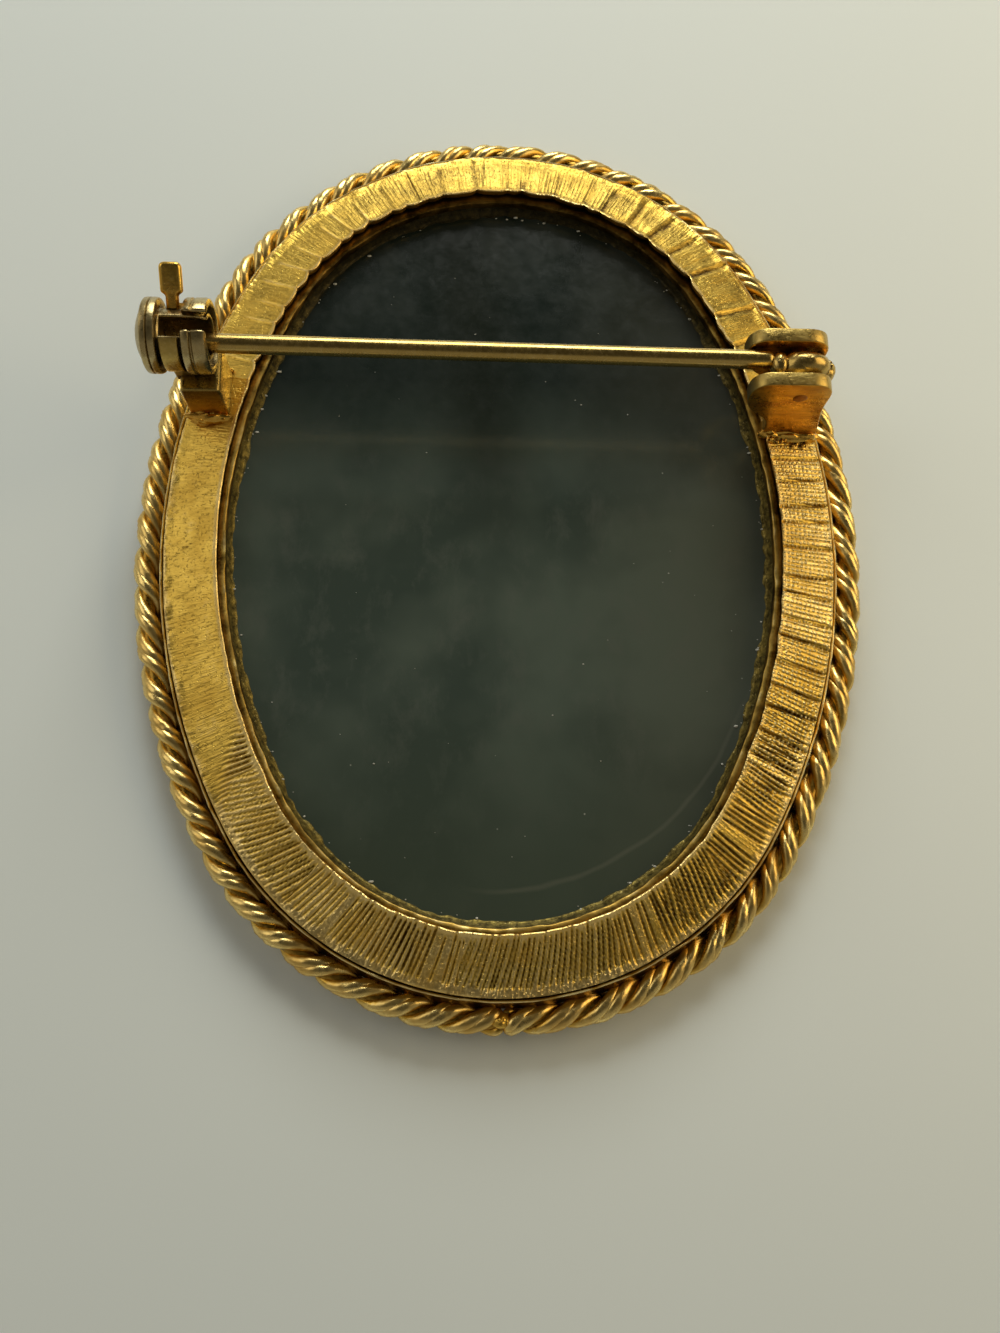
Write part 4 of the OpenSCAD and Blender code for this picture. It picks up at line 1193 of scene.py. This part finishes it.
# Round forms: cheek and cheekbone; brow, nose, nostril and its hollow; lips, mouth and the hollow
# below; chin, neck and chest; eye socket, eyeball and lids; ear lobe.
# [forward, height, half width, half height, rise]
FACE_FORMS = [
    (0.10, 0.535, 0.09, 0.05, 0.10), (0.145, 0.575, 0.05, 0.028, 0.05),
    (0.195, 0.672, 0.055, 0.011, 0.09), (0.238, 0.600, 0.016, 0.035, 0.06),
    (0.226, 0.586, 0.014, 0.009, 0.08), (0.250, 0.580, 0.012, 0.006, -0.06),
    (0.228, 0.545, 0.026, 0.0065, 0.07), (0.222, 0.5295, 0.022, 0.0065, 0.07),
    (0.218, 0.5370, 0.030, 0.0022, -0.10), (0.205, 0.515, 0.030, 0.006, -0.06),
    (0.205, 0.487, 0.035, 0.016, 0.06), (-0.06, 0.40, 0.12, 0.05, -0.12),
    (0.02, 0.24, 0.16, 0.03, -0.06), (0.16, 0.645, 0.045, 0.018, -0.12),
    (0.168, 0.638, 0.022, 0.0095, 0.13), (0.172, 0.640, 0.020, 0.0085, 0.10),
    (0.160, 0.6505, 0.030, 0.0026, 0.07), (0.163, 0.6275, 0.026, 0.0022, -0.06),
    (-0.039, 0.565, 0.010, 0.010, 0.06)]


def smooth_table(table, column, at):
    """A column of a table as a smooth curve of its first column."""
    xs = np.array([row[0] for row in table])
    ys = np.array([row[column] for row in table])
    slopes = np.gradient(ys, xs)
    i = np.clip(np.searchsorted(xs, at) - 1, 0, len(xs) - 2)
    h = xs[i + 1] - xs[i]
    t = np.clip((at - xs[i]) / h, 0, 1)
    a = (1 + 2 * t) * (1 - t) ** 2 * ys[i] + t * (1 - t) ** 2 * h * slopes[i]
    return a + t * t * (3 - 2 * t) * ys[i + 1] + t * t * (t - 1) * h * slopes[i + 1]


def hair_forms(x, y):
    """Hair mask, lift and grooves: strands swept to the bun, and the coiled bun."""
    line = smooth_table(HAIRLINE, 1, np.clip(y, 0.44, 1.0))
    over_ear = np.hypot((x - EAR[0]) / 0.034, (y - EAR[1]) / 0.040)
    mask = step(0.012, -0.012, x - line) * step(0.425, 0.45, y) * step(0.9, 1.1, over_ear)
    from_bun = (x - BUN[0]) * RELIEF_W / RELIEF_L
    to_bun = np.arctan2(y - BUN[1], from_bun)
    far = np.hypot(from_bun, y - BUN[1])
    flow = to_bun * 30 + 3.0 * np.sin(far * 24) + 1.4 * swell(far * 14, to_bun * 3, 701)
    strands = np.abs(np.sin(flow)) ** 0.7 + 0.35 * np.sin(flow * 3.1 + 2 * far * 40)
    locks = np.sin(to_bun * 7.0 + 5.0 * np.sin(far * 15)) * 0.5
    ring = np.hypot((x - BUN[0]) / BUN_R[0], (y - BUN[1]) / BUN_R[1])
    in_bun = step(1.08, 0.95, ring)
    coil = np.abs(np.sin(ring * 7.5 + to_bun)) ** 0.6 + 0.3 * np.sin(ring * 32 + to_bun * 4)
    dome = np.sqrt(np.clip(1 - ring ** 2, 0, 1))
    lift = mask * (0.10 + 0.055 * strands + 0.05 * locks) * (1 - in_bun)
    lift += in_bun * (0.12 + 0.13 * dome + 0.055 * coil) - 0.10 * near(ring - 1.04, 0.06) * mask
    return mask, lift, np.where(in_bun > 0.5, coil, strands)


def face_forms(x, y):
    """The round forms, with the lines of lids and brow, the ear's rim and the jaw."""
    lift = sum(rise * near(x - at_x, wide) * near(y - at_y, high)
               for at_x, at_y, wide, high, rise in FACE_FORMS)
    eye_x = 0.172
    upper = 0.6485 - 5.5 * (x - eye_x - 0.004) ** 2
    lower = 0.6325 + 4.0 * (x - eye_x) ** 2
    lids = 0.075 * near(y - upper, 0.0030) + 0.035 * near(y - lower, 0.0026)
    lids = lids - 0.05 * near(y - upper - 0.0075, 0.0028)
    lift += lids * step(0.040, 0.026, np.abs(x - eye_x))
    brow = 0.672 - 3.2 * (x - 0.185) ** 2
    lift += 0.045 * near(y - brow, 0.0045) * step(0.062, 0.045, np.abs(x - 0.178))
    ear = np.hypot((x - EAR[0] - 0.15 * (y - EAR[1])) / 0.026, (y - EAR[1]) / 0.034)
    lift += 0.13 * near(ear - 0.85, 0.22) * step(0.15, -0.5, (x - EAR[0]) / 0.026 - 0.6)
    lift -= 0.06 * step(0.6, 0.2, ear)
    jaw = 0.470 + 0.36 * np.clip(0.20 - x, 0, 1) ** 1.35
    return lift - 0.14 * step(0.010, -0.010, y - jaw) * step(-0.10, -0.04, x) * step(0.40, 0.44, y)


def hollows(height):
    """How far each point of a grid lies below its neighbourhood, from 0 to 1."""
    mean = height.copy()
    for axis in (0, 1, 0, 1):
        mean = sum(np.roll(mean, k, axis) for k in (-3, -2, -1, 0, 1, 2, 3)) / 7
    return np.clip((mean - height) / 0.035, 0, 1)


def dress_forms(x, y):
    """Neckline, folds over the shoulders and a small string of beads."""
    neckline = 0.235 + 1.1 * (x + 0.02) ** 2
    cloth = step(0.008, -0.008, y - neckline)
    fan = np.arctan2(y - 0.42, x - 0.36)
    folds = np.abs(np.sin(fan * 11 + 1.5 * np.sin(y * 16))) ** 0.8
    string = 0.345 + 1.0 * (x + 0.03) ** 2
    beads = (0.5 + 0.5 * np.cos(x * 2 * math.pi / 0.022)) * step(0.17, 0.15, np.abs(x + 0.035))
    lift = cloth * (0.07 + 0.09 * folds) * step(-0.01, 0.05, y)
    lift += 0.05 * near(y - neckline, 0.006) + 0.10 * near(y - string, 0.0065) * beads
    return lift, cloth * folds + (1 - cloth)


def carving():
    """The white profile, as a fine grid closed by a flat back."""
    rows, cols = 270, 150
    y = np.linspace(0, PROFILE[-1][0], rows)[:, None]
    even = np.linspace(0, 1, cols)[None, :]
    u = 0.5 * (0.5 - 0.5 * np.cos(math.pi * even)) + 0.5 * even
    back = smooth_table(PROFILE, 1, y)
    x = back + (smooth_table(PROFILE, 2, y) - back) * u
    full_y = np.broadcast_to(y, x.shape)
    mask, hair, groove = hair_forms(x, full_y)
    dress, fold = dress_forms(x, full_y)
    face = face_forms(x, full_y) * (1 - mask) * step(DRESS_TOP, FACE_FROM, full_y)
    crown = np.clip(1 - np.abs(2 * u - 1) ** 2.6, 0, 1) ** 0.5
    soft = crown * np.clip(0.80 * smooth_table(PROFILE, 3, y) + hair + dress + face, 0, 1.16)
    rise = (RELIEF_H - RELIEF_EDGE) * np.minimum(soft, 0.9 + 0.1 * np.tanh((soft - 0.9) / 0.1))
    front = np.stack([-RELIEF_W * x, RELIEF_L * (full_y - 0.5), RELIEF_BASE - RELIEF_EDGE - rise], -1)
    front = front.reshape(-1, 3)

    grid = np.arange(rows * cols).reshape(rows, cols)
    rim = np.concatenate([grid[0], grid[1:, -1], grid[-1, -2::-1], grid[-2:0:-1, 0]]).tolist()
    back_rim = front[rim].copy()
    back_rim[:, 2] = RELIEF_BASE
    n = len(rim)
    first = rows * cols
    faces = grid_faces(rows, cols, False, False)
    faces += [[rim[k], rim[(k + 1) % n], first + (k + 1) % n, first + k] for k in range(n)]
    faces.append([first + k for k in range(n)])
    tone = np.where(mask > 0.5, groove * 0.7, np.where(full_y < DRESS_TOP, fold, 1.0 - hollows(face)))
    values = {"tone": np.concatenate([tone.ravel(), np.full(n, 0.6)]),
              "thick": np.concatenate([(rise / RELIEF_H).ravel(), np.zeros(n)])}
    return make_object("carving", (np.concatenate([front, back_rim]), faces), carving_paint(), values, 50)


# Building, and which body and CAD node each piece goes with

PIECES = [
    (flange, "brooch", ("frame",), "gilt"), (bezel, "brooch", ("frame",), "gilt"),
    (side_wall, "brooch", ("frame",), "gilt"), (cement, "brooch", ("frame",), "gilt"),
    (crumbs, "brooch", (), "white_layer"), (rope, "brooch", ("rope_border",), "gilt_rope"),
    (hinge_bracket, "brooch", ("frame",), "gilt"), (hinge_solder, "brooch", ("frame",), "gilt"),
    (catch_bracket, "brooch", ("frame",), "gilt"), (catch_solder, "brooch", ("frame",), "gilt"),
    (rivet, "brooch", ("hinge_rivet",), "pin_metal"), (pin_piece, "pin", ("pin_stem",), "pin_metal"),
    (spool, "catch", ("catch_spool",), "worn_catch"), (lever, "catch", ("catch_spool",), "worn_catch"),
    (carving, "brooch", ("cameo_relief",), "white_layer")]


def build():
    """Makes every piece, ties it to the frame, and gives the CAD's stone its material."""
    for make, body, nodes, finish in PIECES:
        piece = make()
        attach(piece, body)
        if nodes:
            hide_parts(*nodes)
    stone = stone_paint()
    for place in frame["nodes"]["stone"].material_slots:
        place.link = "OBJECT"
        place.material = stone


# Floor, light and camera

FLOOR_HALF = 1.5
FLOOR_Z = -0.01 * MM

# [name, azimuth from +X to +Y, elevation, distance, width, height, radiance, colour]: a window at
# the top of the picture, a warm lamp at the right, and a fill
LIGHTS = [
    ("window", 87, 31, 0.26, 0.135, 0.13, 6.4, (0.98, 1.0, 0.93)),
    ("right_lamp", 10, 31, 0.12, 0.09, 0.07, 2.1, (1.0, 0.78, 0.42)),
    ("left_fill", 160, 38, 0.26, 0.18, 0.16, 0.85, (1.0, 0.94, 0.80))]

# Radiance of the room's walls and of its ceiling, and the colour of both
WALL_LIGHT = 0.24
CEILING_LIGHT = 0.05
ROOM_COLOUR = (1.0, 0.93, 0.76, 1.0)

CAMERA_PLACE = (-2.28, -20.29, 56.18)
CAMERA_FORWARD = (0.0389, 0.2453, -0.9687)
CAMERA_UP = (-0.0062, 0.9694, 0.2453)
CAMERA_LENS = 30.52


def add_floor():
    """A plain pale floor just under the brooch."""
    mesh = bpy.data.meshes.new("floor")
    corners = [(x * FLOOR_HALF, y * FLOOR_HALF, FLOOR_Z) for x, y in ((-1, -1), (1, -1), (1, 1), (-1, 1))]
    mesh.from_pydata(corners, [], [(0, 1, 2, 3)])
    mesh.materials.append(floor_paint())
    floor = bpy.data.objects.new("floor", mesh)
    bpy.context.scene.collection.objects.link(floor)


def add_light(name, azimuth, elevation, distance, width, height, radiance, colour):
    """A soft area light aimed at the brooch."""
    data = bpy.data.lights.new(name, "AREA")
    data.shape = "RECTANGLE"
    data.size = width
    data.size_y = height
    data.energy = radiance * math.pi * width * height
    data.color = colour
    light = bpy.data.objects.new(name, data)
    az = math.radians(azimuth)
    el = math.radians(elevation)
    away = Vector((math.cos(el) * math.cos(az), math.cos(el) * math.sin(az), math.sin(el)))
    light.location = away * distance
    light.rotation_euler = away.to_track_quat("Z", "Y").to_euler()
    bpy.context.scene.collection.objects.link(light)


def room():
    """A room with pale walls and a dark ceiling."""
    world = bpy.data.worlds.new("room")
    world.use_nodes = True
    tree = world.node_tree
    place = tree.nodes.new("ShaderNodeTexCoord")
    split = tree.nodes.new("ShaderNodeSeparateXYZ")
    fade = tree.nodes.new("ShaderNodeMapRange")
    sky = tree.nodes["Background"]
    for key, value in {"From Min": 0.60, "From Max": 0.82, "To Min": WALL_LIGHT,
                       "To Max": CEILING_LIGHT}.items():
        fade.inputs[key].default_value = value
    sky.inputs["Color"].default_value = ROOM_COLOUR
    tree.links.new(place.outputs["Generated"], split.inputs[0])
    tree.links.new(split.outputs["Z"], fade.inputs["Value"])
    tree.links.new(fade.outputs["Result"], sky.inputs["Strength"])
    return world


def add_camera():
    """The photograph's view."""
    data = bpy.data.cameras.new("camera")
    data.sensor_fit = "AUTO"
    data.sensor_width = 36.0
    data.lens = CAMERA_LENS
    data.clip_start = 0.001
    data.clip_end = 10.0
    back = -Vector(CAMERA_FORWARD).normalized()
    right = Vector(CAMERA_UP).cross(back).normalized()
    up = back.cross(right)
    camera = bpy.data.objects.new("camera", data)
    turned = Matrix((right, up, back)).transposed().to_4x4()
    camera.matrix_world = Matrix.Translation(Vector(CAMERA_PLACE) * MM) @ turned
    bpy.context.scene.collection.objects.link(camera)
    bpy.context.scene.camera = camera


build()
add_floor()
for light_row in LIGHTS:
    add_light(*light_row)
bpy.context.scene.world = room()
add_camera()
bpy.context.scene.view_settings.view_transform = "Standard"
